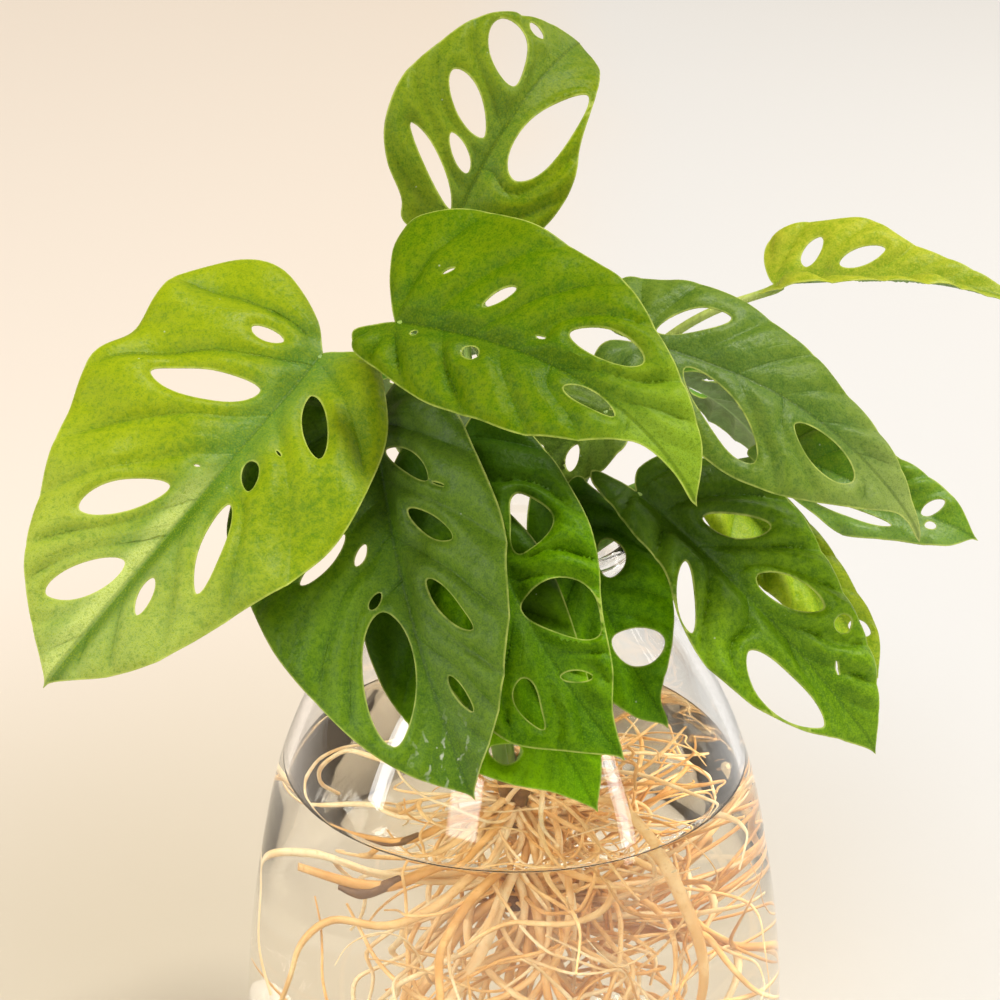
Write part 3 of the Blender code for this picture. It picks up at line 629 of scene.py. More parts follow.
QUILT = (0.27, 0.05)
QUILT_ROUND = 0.8
QUILT_REACH = 8.0
QUILT_SWING = (0.55, 1.45)
QUILT_SPACES = 40
QUILT_GAPS = ((2.5, 6.5), (6.0, 12.0))
CALM_EDGE = (-2.5, 3.5)
CALM_RIB = (0.3, 5.0)
CALM_TIP = (2.0, 14.0)
RIB_START = (-2.0, 3.0)
RIB_TAPER = 0.7
GROOVE_DEPTH = 0.5
GROOVE_WIDTH = 0.7
RIB_BULGE = 0.55
RIB_WIDTH = 0.85
CHANNEL_START = (2.0, 16.0)
CHANNEL_DEPTH = 1.2
CHANNEL_WIDTH = 7.0
SWELL_REACH = 8.0
RIPPLE = 0.28
RIPPLE_COUNT = 9
RIPPLE_LENGTHS = (10.0, 40.0)
RIPPLE_FULL = 30.0
# A leaf's heel and tip are the ends of its midrib, and its face is the azimuth and elevation that its upper
# side looks to. Left and right give the lobe's reach and offset, and then the half width at each station.
# A right side that isn't given is like the left. A hole has its place along and across the leaf, its length,
# width, angle and bend, and some have a taper. A nick is a small hole. The tones are the one along the
# veins, the leaf's own and the one between the veins. A painted sheen on one side (1 is the left), a painted
# sheen at the tip, a painted shadow at the heel, a rib with painted light and shade on its flanks, and a
# scuff say where on the leaf they are, and some how strong and of what tone.
USUAL_LEAF = {
    "puff": 1.0, "rib_sheen": 0.05, "nicks": (),
    "sweep": 0, "peak": 0.5, "fold": 0.1, "droop": 2, "sinus": (0.45, 0.28),
}
LEAVES = {
    "leaf_01": {
        "slot": "leaf_lime", "tones": ((68, 114, 20), (98, 128, 8), (131, 152, 12)),
        "yellowing": 1.0, "gloss": 0.12, "puff": 0.75, "rib_sheen": 0.3,
        "tip_sheen": (50, 95, 0.42), "lit_rib": (-1, 38, 62),
        "sheen_side": (-1, 0.34, (168, 182, 14), 6.0, 30.0),
        "heel": (-52.0, -30.0, 285.3), "tip": (-121.1, -95.0, 219.0), "face": (-100, 38),
        "rise": 8, "sweep": 2.5, "fold": 0.12,
        "left": (5, 10, 19, 29, 34, 38, 36, 28.5, 22, 13),
        "right": (16.5, 24, 47, 47, 46, 48.5, 43, 35.5, 26, 15),
        "holes": (
            (5, -15, 10, 4, -82, 0), (28, -19.2, 29, 10, -62, 1.6), (67, -15, 25, 8, -36, -1),
            (90, -9, 21, 9, -29, 0), (22, 13, 21, 6.5, 44, 0), (43, 8, 10, 4.5, 35, 0),
            (64, 13, 24, 6.5, 22, 0), (84, 7, 10, 4, 20, 0),
        ),
        "nicks": ((33.8, 10.1, 2.2, 0.7, 70, 0), (48.6, -5.4, 1.6, 0.6, -60, 0)),
    },
    "leaf_02": {
        "slot": "leaf_green", "tones": ((50, 86, 1), (74, 111, 1), (102, 128, 1)),
        "yellowing": 0.35, "gloss": 0.07, "puff": 1.1,
        "tip_sheen": (56, 84, 0.5, (158, 194, 58)),
        "heel": (-31.7, -52.0, 301.5), "tip": (43.7, -100.0, 271.5), "face": (-88, 38),
        "rise": 9, "sweep": 9, "peak": 0.62, "fold": 0.02, "droop": 3,
        "left": (8, 22, 33, 36, 35, 32, 29, 21, 13.5, 8.5),
        "right": (11, 4, 14, 18, 20.5, 21, 20, 14.5, 3.4, 1.2),
        "holes": (
            (26, 12, 9, 3, 46, 0.5), (26, -5, 5, 4, -26, 0), (56.5, 11, 18.6, 7.7, 8, 0),
            (61.5, -3, 16, 4.5, 4, 0, -0.2),
        ),
        "nicks": ((10.5, 15.6, 3.4, 0.8, 40, 0), (40.7, 5.6, 2.4, 0.9, 12, 0), (7.2, -2.6, 1.7, 1.6, 0, 0)),
    },
    "leaf_03": {
        "slot": "leaf_green", "tones": ((63, 97, 5), (91, 121, 5), (121, 140, 10)),
        "yellowing": 0.3, "gloss": 0.09, "rib_sheen": 0.3,
        "sheen_side": (1, 0.25, (106, 132, 50)),
        "heel": (-16.7, -8.0, 315.1), "tip": (19.2, 32.0, 357.0), "face": (-80, 30),
        "rise": 11, "sweep": 3.5, "fold": 0.15, "droop": 1,
        "left": (6, 10, 16, 24, 29, 31, 28, 24, 17, 9),
        "right": (6, 10, 18, 22, 24, 24, 20, 17, 13.5, 10),
        "holes": (
            (46.6, 11.6, 18.5, 11.5, 50, 0, 0.1), (29, 12, 20, 7, 61, 0), (10.8, 12.4, 26, 4, 54, -1),
            (17, 7, 12, 4, 53, 0), (34.5, -11.3, 34.5, 12, -4, 1, -0.2), (58.7, 9.8, 5.5, 3.2, 76, 0),
        ),
    },
    "leaf_04": {
        "slot": "leaf_green", "tones": ((55, 90, 20), (80, 113, 28), (104, 131, 36)),
        "yellowing": 0.1, "gloss": 0.18, "puff": 0.8, "rib_sheen": 0.25,
        "tip_sheen": (45, 100, 0.5),
        "heel": (36.9, -35.0, 289.0), "tip": (109.6, -50.0, 239.4), "face": (-75, 45),
        "rise": 8, "sweep": 6.5, "fold": -0.05, "droop": 3, "sinus": (0.9, 0.15),
        "left": (15, 17, 23, 23, 22.5, 18.3, 14, 10.8, 6.8, 3.4),
        "right": (14.5, 14, 18, 22, 25, 27, 26, 20, 10.5, 2.2),
        "holes": ((8, 10, 19, 7, 32, 0), (24, -13, 35, 10, -31, 0), (55, -7, 24, 9, -3, 0)),
    },
    "leaf_05": {
        "slot": "leaf_lime", "tones": ((104, 138, 22), (142, 162, 28), (172, 180, 48)),
        "yellowing": 0.3, "gloss": 0.12,
        "heel": (72.4, 5.0, 293.5), "tip": (141.8, -10.0, 292.3), "face": (-90, 76),
        "rise": 6, "fold": 0.4, "droop": 0,
        "left": (3, 9, 17, 20, 20, 19, 13, 9, 5, 3),
        "right": (3, 7, 8.5, 10, 10.8, 11.8, 11.2, 9, 5.5, 3),
        "holes": ((11, 9, 11, 5, 67, 0), (25, 6, 13, 5, 20, 0)),
    },
    "leaf_06": {
        "slot": "leaf_dark", "tones": ((46, 86, 1), (73, 111, 2), (97, 133, 3)),
        "yellowing": 0.1, "gloss": 0.24, "puff": 0.75, "rib_sheen": 0.1,
        "sheen_side": (1, 0.3, (84, 104, 48)),
        "heel_shadow": (10, 38, 0.35), "scuff": (96.0, -2.0, 7.0),
        "heel": (-38.9, -35.0, 269.1), "tip": (-11.9, -100.0, 188.5), "face": (-108, 30),
        "rise": 6, "sweep": -2, "fold": 0.2, "droop": 0,
        "left": (8, 12, 22, 26, 29, 32.5, 31, 26.5, 18, 10),
        "right": (12, 18, 32, 38, 42, 42, 38, 31.5, 22, 13),
        "holes": (
            (18, 9, 19, 5, 40, 0.7), (37, 12, 16, 5, 40, 0), (59.5, 12, 19, 5.4, 30, 0, -0.12),
            (82, 7, 11, 3, 14, 0), (39, -9, 6, 2.5, -36, 0), (52, -8, 5, 2.5, -41, 0),
            (72, -9.8, 34, 14, -10, -0.2), (38, -19, 17, 4.5, -56, 0.9),
        ),
        "nicks": ((27.5, 17.5, 3.6, 0.5, 56, 0),),
    },
    "leaf_07": {
        "slot": "leaf_dark", "tones": ((47, 88, 0), (70, 114, 0), (98, 141, 0)),
        "yellowing": 0.2, "gloss": 0.07, "puff": 1.2,
        "heel_shadow": (14, 50, 0.8),
        "heel": (-14.8, -28.0, 261.4), "tip": (27.8, -88.0, 193.6), "face": (-85, 30),
        "rise": 6, "sweep": -7,
        "left": (9, 10, 17, 21, 24, 26, 24, 18, 12, 5),
        "right": (9, 10, 16, 22, 26, 28, 28, 27, 22, 11),
        "holes": (
            (33, 10, 17, 12, -16, 3), (61, 9, 24, 14.6, 37, 3), (77.5, -11.6, 13, 6.4, -10, -0.8, -0.3),
            (78, 3, 8, 3, 56, 0),
        ),
    },
    "leaf_08": {
        "slot": "leaf_dark", "tones": ((72, 120, 0), (94, 145, 0), (121, 172, 0)),
        "yellowing": 0.2, "gloss": 0.06,
        "heel_shadow": (30, 62, 0.8),
        "heel": (-19.4, -40.0, 240.4), "tip": (21.6, -80.0, 172.9), "face": (-95, 35),
        "rise": 5,
        "left": (7, 8, 14, 17, 19, 19, 17, 14, 10, 6),
        "right": (9, 12, 24, 30, 34, 36, 34.5, 29.5, 18, 7.5),
        "holes": ((64, -14.5, 8.5, 5.6, 60, -1),),
    },
    "leaf_09": {
        "slot": "leaf_dark", "tones": ((55, 100, 0), (77, 127, 0), (109, 161, 0)),
        "yellowing": 0.1, "gloss": 0.06,
        "heel_shadow": (16, 46, 0.7),
        "heel": (13.5, -20.5, 241.5), "tip": (42.4, -54.0, 184.4), "face": (-80, 35),
        "rise": 5, "sweep": -4,
        "left": (3, 4, 7, 12, 16.5, 19.5, 19.5, 16, 8, 2),
        "right": (5, 6, 10, 13, 15, 16, 16, 15, 11, 7),
        "holes": ((23.5, 6.2, 12, 7.4, -13, 1.5), (49.6, 3.9, 15, 10.5, 57, -1.6)),
    },
    "leaf_10": {
        "slot": "leaf_dark", "tones": ((58, 98, 1), (82, 122, 4), (114, 153, 8)),
        "yellowing": 0.1, "gloss": 0.15, "puff": 1.2,
        "heel_shadow": (16, 52, 0.65),
        "heel": (33.2, -28.0, 244.2), "tip": (99.4, -62.0, 180.9), "face": (-75, 40),
        "rise": 8, "droop": 3,
        "left": (4, 5, 17, 24, 28, 29, 24, 19.5, 14.5, 8.5),
        "right": (13, 4, 9, 11, 12, 20, 24, 21.5, 15, 7),
        "holes": (
            (32, -14, 20, 5, -43, -1), (68, -12, 30, 11, 5, -1.4), (27, 12, 18, 7, 42, -0.9),
            (50, 9, 20, 8, 21, -0.6), (66, 14, 5, 5, -21, 0),
        ),
        "nicks": ((74, 5, 4.2, 0.6, -30, 0),),
    },
    "leaf_11": {
        "slot": "leaf_lime", "tones": ((108, 154, 20), (153, 187, 26), (186, 208, 40)),
        "yellowing": 0.4, "gloss": 0.18,
        "heel": (56.3, -6.0, 238.7), "tip": (102.5, -40.0, 193.3), "face": (-70, 40),
        "rise": 6,
        "left": (4, 5, 8, 10, 11, 11, 10, 9, 8, 5),
        "right": (4, 5, 8, 12, 14, 15, 14, 12, 8, 5),
        "holes": ((60.5, 2.5, 7, 4, 30, 0),),
    },
    "leaf_12": {
        "slot": "leaf_green", "tones": ((60, 108, 12), (86, 130, 16), (116, 150, 22)),
        "yellowing": 0.1, "gloss": 0.24,
        "sheen_side": (-1, 0.45, (118, 148, 84)),
        "heel": (72.5, -5.0, 250.0), "tip": (128.1, -32.0, 232.0), "face": (-80, 40),
        "rise": 6, "sweep": -3, "fold": -0.05,
        "left": (5, 7, 11, 13, 14, 14, 13, 11, 9, 6),
        "right": (4, 5, 8, 10, 12, 14, 16, 12, 9, 6),
        "holes": ((32, -9, 22, 3, 7, 0), (51.5, 2.4, 7, 3.6, 52, 0)),
        "nicks": ((52.8, -2.6, 3.2, 2.4, 30, 0),),
    },
    "leaf_13": {
        "slot": "leaf_dark", "tones": ((62, 90, 22), (84, 112, 32), (106, 132, 42)),
        "yellowing": 0.4, "gloss": 0.12,
        "heel": (27.0, -1.0, 258.0), "tip": (0.0, -7.0, 235.0), "face": (-105, 45),
        "rise": 4, "droop": 1,
        "left": (4, 5, 10, 13, 14, 15, 14, 11, 7, 4),
        "holes": ((17.5, 5.9, 8.4, 4, 38, 0), (25.5, -4.8, 8, 3.2, -28, 0)),
    },
    "leaf_14": {
        "slot": "leaf_green", "tones": ((48, 102, 16), (72, 128, 22), (98, 148, 32)),
        "yellowing": 0.2, "gloss": 0.15,
        "heel": (40.0, 22.0, 262.0), "tip": (88.0, 62.0, 206.0), "face": (50, 45),
        "rise": 8,
        "left": (8, 10, 20, 25, 27, 28, 26, 21, 13, 7),
        "holes": (
            (20, 9, 14, 5, 50, 0), (36, 10, 16, 6, 40, 0), (24, -10, 16, 6, -50, 0),
            (46, -9, 16, 6, -35, 0),
        ),
    },
    "leaf_15": {
        "slot": "leaf_green", "tones": ((52, 108, 16), (78, 134, 20), (106, 154, 30)),
        "yellowing": 0.3, "gloss": 0.15,
        "heel": (-14.0, 30.0, 268.0), "tip": (-30.0, 92.0, 198.0), "face": (95, 40),
        "rise": 8,
        "left": (8, 10, 21, 27, 30, 31, 28, 22, 14, 8),
        "holes": (
            (20, 9, 14, 5, 50, 0), (40, 11, 18, 6, 40, 0), (24, -10, 16, 6, -50, 0),
            (46, -11, 18, 6, -35, 0), (64, 8, 12, 4, 30, 0),
        ),
    },
    "leaf_16": {
        "slot": "leaf_green", "tones": ((46, 98, 18), (68, 122, 24), (94, 144, 34)),
        "yellowing": 0.2, "gloss": 0.15,
        "heel": (-40.0, 12.0, 262.0), "tip": (-92.0, 52.0, 214.0), "face": (140, 42),
        "rise": 8,
        "left": (7, 9, 18, 23, 25, 26, 24, 19, 12, 6),
        "holes": ((20, 9, 14, 5, 50, 0), (38, 9, 14, 5, 40, 0), (26, -9, 14, 5, -45, 0)),
    },
}
# A heel shadow is painted shade: the part of a blade near its heel, where other leaves shade it, is darkened
# towards a deep green.
HEEL_SHADOW_TONE = (24, 50, 2)
HEEL_SHADOW_WANDER = 16.0
# A tip sheen is a painted sheen: the blade turns paler towards its tip.
TIP_SHEEN_TONE = (186, 202, 116)
TIP_SHEEN_WANDER = 24.0
RIB_SHEEN = (112, 148, 96)
SHEEN_REACH = (-0.5, 3.0)
# Painted light and shade on the midrib's channel: a pale lit flank on one side and a dark shaded flank on
# the other.
RIB_LIT_AND_SHADED_FLANKS = (
    ((6.5, 2.0), 0.85, (-0.5, 0.3), (192, 208, 116)),
    ((-6.0, -2.0), 0.75, (-0.3, -0.9), (64, 98, 0)),
)
RIM_TONE = (196, 208, 108)
UNDER_TONE = (128, 158, 92)
UNDER_SHADES = (0.72, 1.35)
DUST_TONE = (0.72, 0.76, 0.66)
DUST_EDGES = (0.05, 0.025)
DUST_SHARE = (0.7, 0.75)
VEIN_SHADE = 0.55
VEIN_SHAKE = 0.9
VEIN_ENDS = (0.4, 6.0)
VEIN_ROOM = (3.0, 8.0)
FAINTEST_VEIN = 0.15
SIDE_VEIN = (0.6, 0.05)
# The band beside each side vein is partly the greener tone along the vein and partly painted shade in the
# valley of the quilting.
VEIN_BAND_AND_VALLEY_SHADE = (2.6, 0.2)
FINE_VEIN = (0.35, 0.05)
FINE_VEINS = 3.0
FINE_SHAKE = 1.6
OTHER_SIDE = 31.7
NET_DRIFT = (0.0016, 0.0016, 0.0016)
NET_VEIN = (0.09, 0.0)
MIDRIB = (0.75, 0.2)
RIB_BAND = (13.0, 1.0)
RIB_BAND_SHARES = (0.35, 0.3)
NEAR_EDGE = (10.0, 2.0)
EDGE_WANDER = 6.0
RIM_BAND = (0.55, 0.12)
RIM_SHARES = (0.3, 0.65, 0.35, 1.0)
SCRATCH_EDGES = (0.86, 0.99)
SCRATCH_BREAKS = (0.48, 0.6)
BLOTCH_EDGES = (0.38, 0.62)
MOTTLE_EDGES = (0.4, 0.62)
EDGE_GLOW = 0.4
BLOTCH_GLOW = 0.6
MOTTLE_GLOW = 0.45
VEIN_TONE_AND_VALLEY_SHADE = 0.6
GRAINS = (("Speck", 0.50, 0.66, 0.55, 2), ("Speck", 0.48, 0.34, 0.38, 0), ("Mottle", 0.46, 0.30, 0.32, 0))
SATIN = (0.3, 0.7, 0.40, 0.50)
LEAF_RELIEF = 0.00022


def unit(rows):
    """Each row of an array of vectors, or a single vector, at length 1."""
    return rows / np.linalg.norm(rows, axis=-1, keepdims=True)


def smooth_step(values, low, high):
    part = np.clip((values - low) / (high - low), 0.0, 1.0)
    return part * part * (3.0 - 2.0 * part)


class Blade:
    """The surface of one leaf. u runs along the midrib from the heel, and v across to the leaf's left."""

    def __init__(self, leaf, number):
        self.leaf = leaf
        self.phase = number * WAVE_SHIFT
        self.heel = np.array(leaf["heel"])
        self.tip = np.array(leaf["tip"])
        azimuth, elevation = np.radians(leaf["face"])
        level = math.cos(elevation)
        self.face = np.array([level * math.cos(azimuth), level * math.sin(azimuth), math.sin(elevation)])
        chord = self.tip - self.heel
        side, normal = self.across(unit(chord))
        self.bend = self.heel + chord * leaf["peak"] + (normal * leaf["rise"] + side * leaf["sweep"]) * 2
        self.parts = np.linspace(0.0, 1.0, RIB_SAMPLES + 1)
        steps = np.linalg.norm(np.diff(self.along(self.parts), axis=0), axis=1)
        self.reach = np.concatenate([[0.0], np.cumsum(steps)])
        self.length = float(self.reach[-1])

    def across(self, along):
        side = unit(np.cross(self.face, along))
        return side, np.cross(along, side)

    def along(self, part):
        part = np.asarray(part)[..., None]
        return self.heel * (1 - part) ** 2 + self.bend * (2 * part * (1 - part)) + self.tip * part**2

    def frame(self, u):
        """The midrib's points at u, with the directions along it, to the left and out of the upper face."""
        inside = np.clip(u, 0.0, self.length)
        part = np.interp(inside, self.reach, self.parts)
        turn = part[..., None]
        along = unit((self.bend - self.heel) * (1 - turn) + (self.tip - self.bend) * turn)
        side, normal = self.across(along)
        return self.along(part) + along * (u - inside)[..., None], along, side, normal

    def points(self, u, v):
        """The places in space of points of the flat blade, in millimetres."""
        rib, _, side, normal = self.frame(u)
        fold = self.leaf["fold"]
        out = np.abs(v) / DROOP_REACH
        wave = WAVE_HEIGHT * np.sin(u * math.tau / WAVE_LENGTH + self.phase + (v > 0)) * out**2
        crease = np.sqrt(v**2 + CREASE_ROUND**2) - CREASE_ROUND
        reach, curl = TIP_CURL
        height = fold * crease - self.leaf["droop"] * out**2 + wave
        height -= curl * np.maximum(u - self.length + reach, 0.0) ** 2
        return rib + side * (v * math.cos(math.atan(fold)))[:, None] + normal * height[:, None]

    def normals(self, u, v):
        """The directions out of the upper face."""
        step = 0.2
        along = self.points(u + step, v) - self.points(u - step, v)
        return unit(np.cross(along, self.points(u, v + step) - self.points(u, v - step)))

    def margin(self, key, sign):
        """One side of the outline from the sinus, round the lobe, to the tip."""
        reach, out, *widths = self.leaf.get(key, self.leaf["left"])
        deep, open_ = self.leaf["sinus"]
        knots = [
            Vector((0.0, 0.0)),
            Vector((-reach * deep, sign * out * open_)),
            Vector((-reach, sign * out)),
            Vector((-reach * LOBE_REACH, sign * (out + widths[0]) * LOBE_WIDTH)),
        ]
        knots += [Vector((part * self.length, sign * width)) for part, width in zip(STATIONS, widths)]
        neck, half, reach = DRIP_TIP
        return [*knots, Vector((self.length - neck, sign * half)), Vector((self.length + reach, 0.0))]

    def rings(self):
        """The closed outline and the edges of the holes, as lists of flat points."""
        left = smooth_line(self.margin("left", 1), OUTLINE_PARTS)
        right = smooth_line(self.margin("right", -1), OUTLINE_PARTS)
        holes = (*self.leaf["holes"], *self.leaf["nicks"])
        return [left + right[-2:0:-1], *(hole_edge(hole) for hole in holes)]


def hole_edge(hole):
    """A hole's edge: a pointed oval, a little uneven, bent along its length and wider at one end."""
    along, across, length, width, angle, bend, *taper = hole
    taper = taper[0] if taper else 0.0
    turn = math.radians(angle)
    edge = []
    for step in range(HOLE_POINTS):
        round_ = math.tau * step / HOLE_POINTS
        uneven = 1 + HOLE_WOBBLE * (math.sin(2 * round_ + along) + 0.7 * math.sin(3 * round_ + across))
        x = math.cos(round_) * length / 2 * uneven
        y = math.sin(round_) * abs(math.sin(round_)) ** HOLE_POINT * width / 2 * uneven
        y *= 1 + taper * math.cos(round_)
        y += bend * (math.sin(round_) ** 2 - 0.5)
        edge.append(Vector((
            along + x * math.cos(turn) - y * math.sin(turn),
            across + x * math.sin(turn) + y * math.cos(turn),
        )))
    return edge


def vein_start(u, out, length):
    """Where along the midrib the side vein through a flat point starts. In the lobe the veins fan out."""
    lean, more = VEIN_LEAN
    start = (u - lean * out - VEIN_CURL * out**2) / (1.0 + more * out / length)
    first = np.arctan2(1.0, lean + VEIN_CURL * out)
    fan = (first - np.arctan2(out, u)) * FAN_REACH
    return np.where(start < 0.0, np.minimum(fan, 0.0), start)


def vein_phase(blade, u, v, sign):
    """The count of side veins up to each flat point on one side. A vein runs where the count is whole."""
    length = blade.length
    spacing = length / VEIN_COUNT
    holes = [hole for hole in blade.leaf["holes"] if hole[1] * sign > 0]
    starts = sorted(float(vein_start(hole[0], abs(hole[1]), length)) for hole in holes)
    cells = []
    for start in starts:
        if cells and start - cells[-1][-1] < spacing * SAME_SPACE:
            cells[-1].append(start)
        else:
            cells.append([start])
    centres = [sum(cell) / len(cell) for cell in cells] or [length / 2]
    while centres[0] > -VEINS_BEFORE:
        centres.insert(0, centres[0] - spacing)
    while centres[-1] < length * VEINS_BEYOND:
        centres.append(centres[-1] + spacing)
    filled = []
    for centre, after in zip(centres, centres[1:]):
        count = max(1, round((after - centre) / spacing))
        filled += [centre + (after - centre) * i / count for i in range(count)]
    veins = [(a + b) / 2 for a, b in zip(filled, filled[1:])]
    out = np.abs(v)
    start = vein_start(u, out, length)
    bowed = start.copy()
    for along, across, hole_length, width, angle, *_ in holes:
        centre = float(vein_start(along, abs(across), length))
        centre = min(filled, key=lambda cell: abs(cell - centre))
        turn = math.radians(angle)
        x = (u - along) * math.cos(turn) + (v - across) * math.sin(turn)
        y = (v - across) * math.cos(turn) - (u - along) * math.sin(turn)
        away = (x / (hole_length / 2 + HOLE_SKIRT)) ** 2 + (y / (width / 2 + HOLE_SKIRT)) ** 2
        bowed -= (start - centre) / (1.0 + away**4) ** VEIN_BOW
    return np.interp(bowed, veins, range(len(veins)))


def vein_field(blade, u, v, sign):
    """The vein count at each flat point, and how wide the space between two veins is there."""
    step = 0.25
    here = vein_phase(blade, u, v, sign)
    slope_u = vein_phase(blade, u + step, v, sign) - vein_phase(blade, u - step, v, sign)
    slope_v = vein_phase(blade, u, v + step * sign, sign) - here
    gap = 1.0 / np.maximum(np.hypot(slope_u / (2 * step), slope_v / step), 0.02)
    return here, np.minimum(gap, WIDEST_GAP)


def edge_distance(rings, u, v):
    """How far each flat point lies from the nearest cut edge."""
    nearest = np.full(len(u), 1e6)
    for ring in rings:
        for a, b in zip(ring, ring[1:] + ring[:1]):
            along = b - a
            part = ((u - a.x) * along.x + (v - a.y) * along.y) / max(along.length_squared, 1e-9)
            part = np.clip(part, 0.0, 1.0)
            nearest = np.minimum(nearest, np.hypot(u - a.x - along.x * part, v - a.y - along.y * part))
    return nearest


def ripples(seed, u, v):
    """Soft irregular swells of a leaf's surface, as a height."""
    random.seed(seed)
    height = np.zeros(len(u))
    for _ in range(RIPPLE_COUNT):
        turn, shift = random.uniform(0.0, math.tau), random.uniform(0.0, math.tau)
        wave = random.uniform(*RIPPLE_LENGTHS)
        along = u * math.cos(turn) + v * math.sin(turn)
        height += np.sin(along * math.tau / wave + shift) * wave / RIPPLE_FULL
    return height * RIPPLE


def hump(values, width):
    """1 at zero, and falling off to both sides within about the width."""
    return np.exp(-((values / width) ** 2))


def read(items, name, kind=np.float32, size=3):
    """One property of all of a mesh's points, faces or corners, a row for each."""
    values = np.empty(len(items) * size, kind)
    items.foreach_get(name, values)
    return values.reshape(-1, size)


def apply_modifier(piece, kind, **settings):
    """Puts a modifier with its settings on the active piece, and applies it."""
    modifier = piece.modifiers.new(kind, kind)
    for key, value in settings.items():
        setattr(modifier, key, value)
    bpy.ops.object.modifier_apply(modifier=modifier.name)


def flat_sheet(name, rings):
    """The flat blade, one unit to the millimetre: a fine sheet, cut to its outline and holes."""
    low = min(point.x for point in rings[0]) - SHEET_MARGIN
    high = max(point.x for point in rings[0]) + SHEET_MARGIN
    half = max(abs(point.y) for point in rings[0]) + SHEET_MARGIN
    columns = round((high - low) / SHEET_CELL)
    rows = 2 * round(half / SHEET_CELL)
    middle = ((low + high) / 2, 0.0, 0.0)
    bpy.ops.mesh.primitive_grid_add(
        x_subdivisions=columns, y_subdivisions=rows, size=1.0, location=middle
    )
    sheet = bpy.context.object
    sheet.name = name
    sheet.scale = (high - low, half * 2, 1.0)
    bpy.ops.object.transform_apply(location=True, rotation=True, scale=True)
    spots = read(sheet.data.vertices, "co")
    spots[:, 1] *= 1.0 - SQUEEZE * hump(spots[:, 1], SQUEEZE_REACH)
    sheet.data.vertices.foreach_set("co", spots.ravel())
    sheet.data.update()
    apply_modifier(sheet, "SOLIDIFY", thickness=BLADE_THICKNESS, offset=-1.0)

    curve = bpy.data.curves.new(name + "_outline", "CURVE")
    curve.dimensions = "2D"
    curve.fill_mode = "BOTH"
    curve.extrude = BLADE_THICKNESS * 3
    for ring in rings:
        spline = curve.splines.new("POLY")
        spline.points.add(len(ring) - 1)
        spline.use_cyclic_u = True
        for spot, point in zip(spline.points, ring):
            spot.co = (point.x, point.y, 0.0, 1.0)
    outline = bpy.data.objects.new(name + "_outline", curve)
    bpy.context.scene.collection.objects.link(outline)
    pick(outline)
    bpy.ops.object.convert(target="MESH")
    weld(OUTLINE_WELD)

    pick(sheet)
    apply_modifier(sheet, "BOOLEAN", operation="INTERSECT", solver="MANIFOLD", object=outline)
    bpy.data.objects.remove(outline)
    weld(BLADE_WELD)
    sheet.data.materials.clear()
    return sheet


def lay_on_surface(sheet, blade, rings, seed):
    """Moves the flat sheet on to the blade's surface, with its relief, and stores where each point lies."""
    mesh = sheet.data
    u, v, z = read(mesh.vertices, "co").astype(float).T
    on_left = read(mesh.polygons, "center")[:, 1] > 0.0
    below = (read(mesh.polygons, "normal")[:, 2] < -0.5).astype(np.int32)
    edge = edge_distance(rings, u, v)
    out = np.abs(v)
    left = vein_field(blade, u, np.maximum(v, 0.0), 1)
    right = vein_field(blade, u, np.minimum(v, 0.0), -1)
    phase = np.where(v > 0, left[0], right[0])
    gap = np.where(v > 0, left[1], right[1])

    calm = smooth_step(edge, *CALM_EDGE) * smooth_step(out, *CALM_RIB)
    calm *= smooth_step(blade.length - u, *CALM_TIP)
    puffed = QUILT[0] * np.abs(np.sin(phase * math.pi)) ** QUILT_ROUND * smooth_step(gap, *QUILT_GAPS[0])
    puffed += QUILT[1] * np.abs(np.sin(phase * math.tau)) * smooth_step(gap, *QUILT_GAPS[1])
    random.seed(seed + 100)
    swings = np.array([random.uniform(*QUILT_SWING) for _ in range(QUILT_SPACES * 2)])
    quilt = puffed * np.minimum(gap, QUILT_REACH) * calm * blade.leaf["puff"]
    quilt *= swings[np.floor(phase).astype(int) % QUILT_SPACES + QUILT_SPACES * (v > 0)]
    taper = 1.0 - RIB_TAPER * np.clip(u / blade.length, 0.0, 1.0)
    started = smooth_step(u, *RIB_START)
    groove = GROOVE_DEPTH * taper * started * hump(v, GROOVE_WIDTH)
    bulge = RIB_BULGE * taper * started * hump(v, RIB_WIDTH)
    swell = ripples(seed, u, v) * smooth_step(out, 0.0, SWELL_REACH)
    swell -= CHANNEL_DEPTH * taper * smooth_step(u, *CHANNEL_START) * hump(v, CHANNEL_WIDTH)
    half = BLADE_THICKNESS / 2 * (RIM_SHARE + (1 - RIM_SHARE) * smooth_step(edge, 0.0, RIM_REACH))
    upper = z > -BLADE_THICKNESS / 2
    lift = np.where(upper, half - groove, -half - bulge) - BLADE_THICKNESS / 2 + quilt + swell
    placed = (blade.points(u, v) + blade.normals(u, v) * lift[:, None]) * MM
    mesh.vertices.foreach_set("co", placed.astype(np.float32).ravel())

    place = mesh.attributes.new("leaf_place", "FLOAT_VECTOR", "POINT")
    place.data.foreach_set("vector", np.column_stack([u, v, edge]).astype(np.float32).ravel())
    corners = read(mesh.loops, "vertex_index", np.int32, 1).ravel()
    left_corner = np.repeat(on_left, read(mesh.polygons, "loop_total", np.int32, 1).ravel())
    veins = np.zeros((len(corners), 3), np.float32)
    for channel in range(2):
        veins[:, channel] = np.where(left_corner, left[channel][corners], right[channel][corners])
    if "scuff" in blade.leaf:
        along, across, reach = blade.leaf["scuff"]
        veins[:, 2] = np.exp(-((u - along) ** 2 + (v - across) ** 2) / reach**2)[corners]
    layer = mesh.attributes.new("leaf_veins", "FLOAT_VECTOR", "CORNER")
    layer.data.foreach_set("vector", veins.ravel())
    mesh.polygons.foreach_set("material_index", below)
    mesh.update()


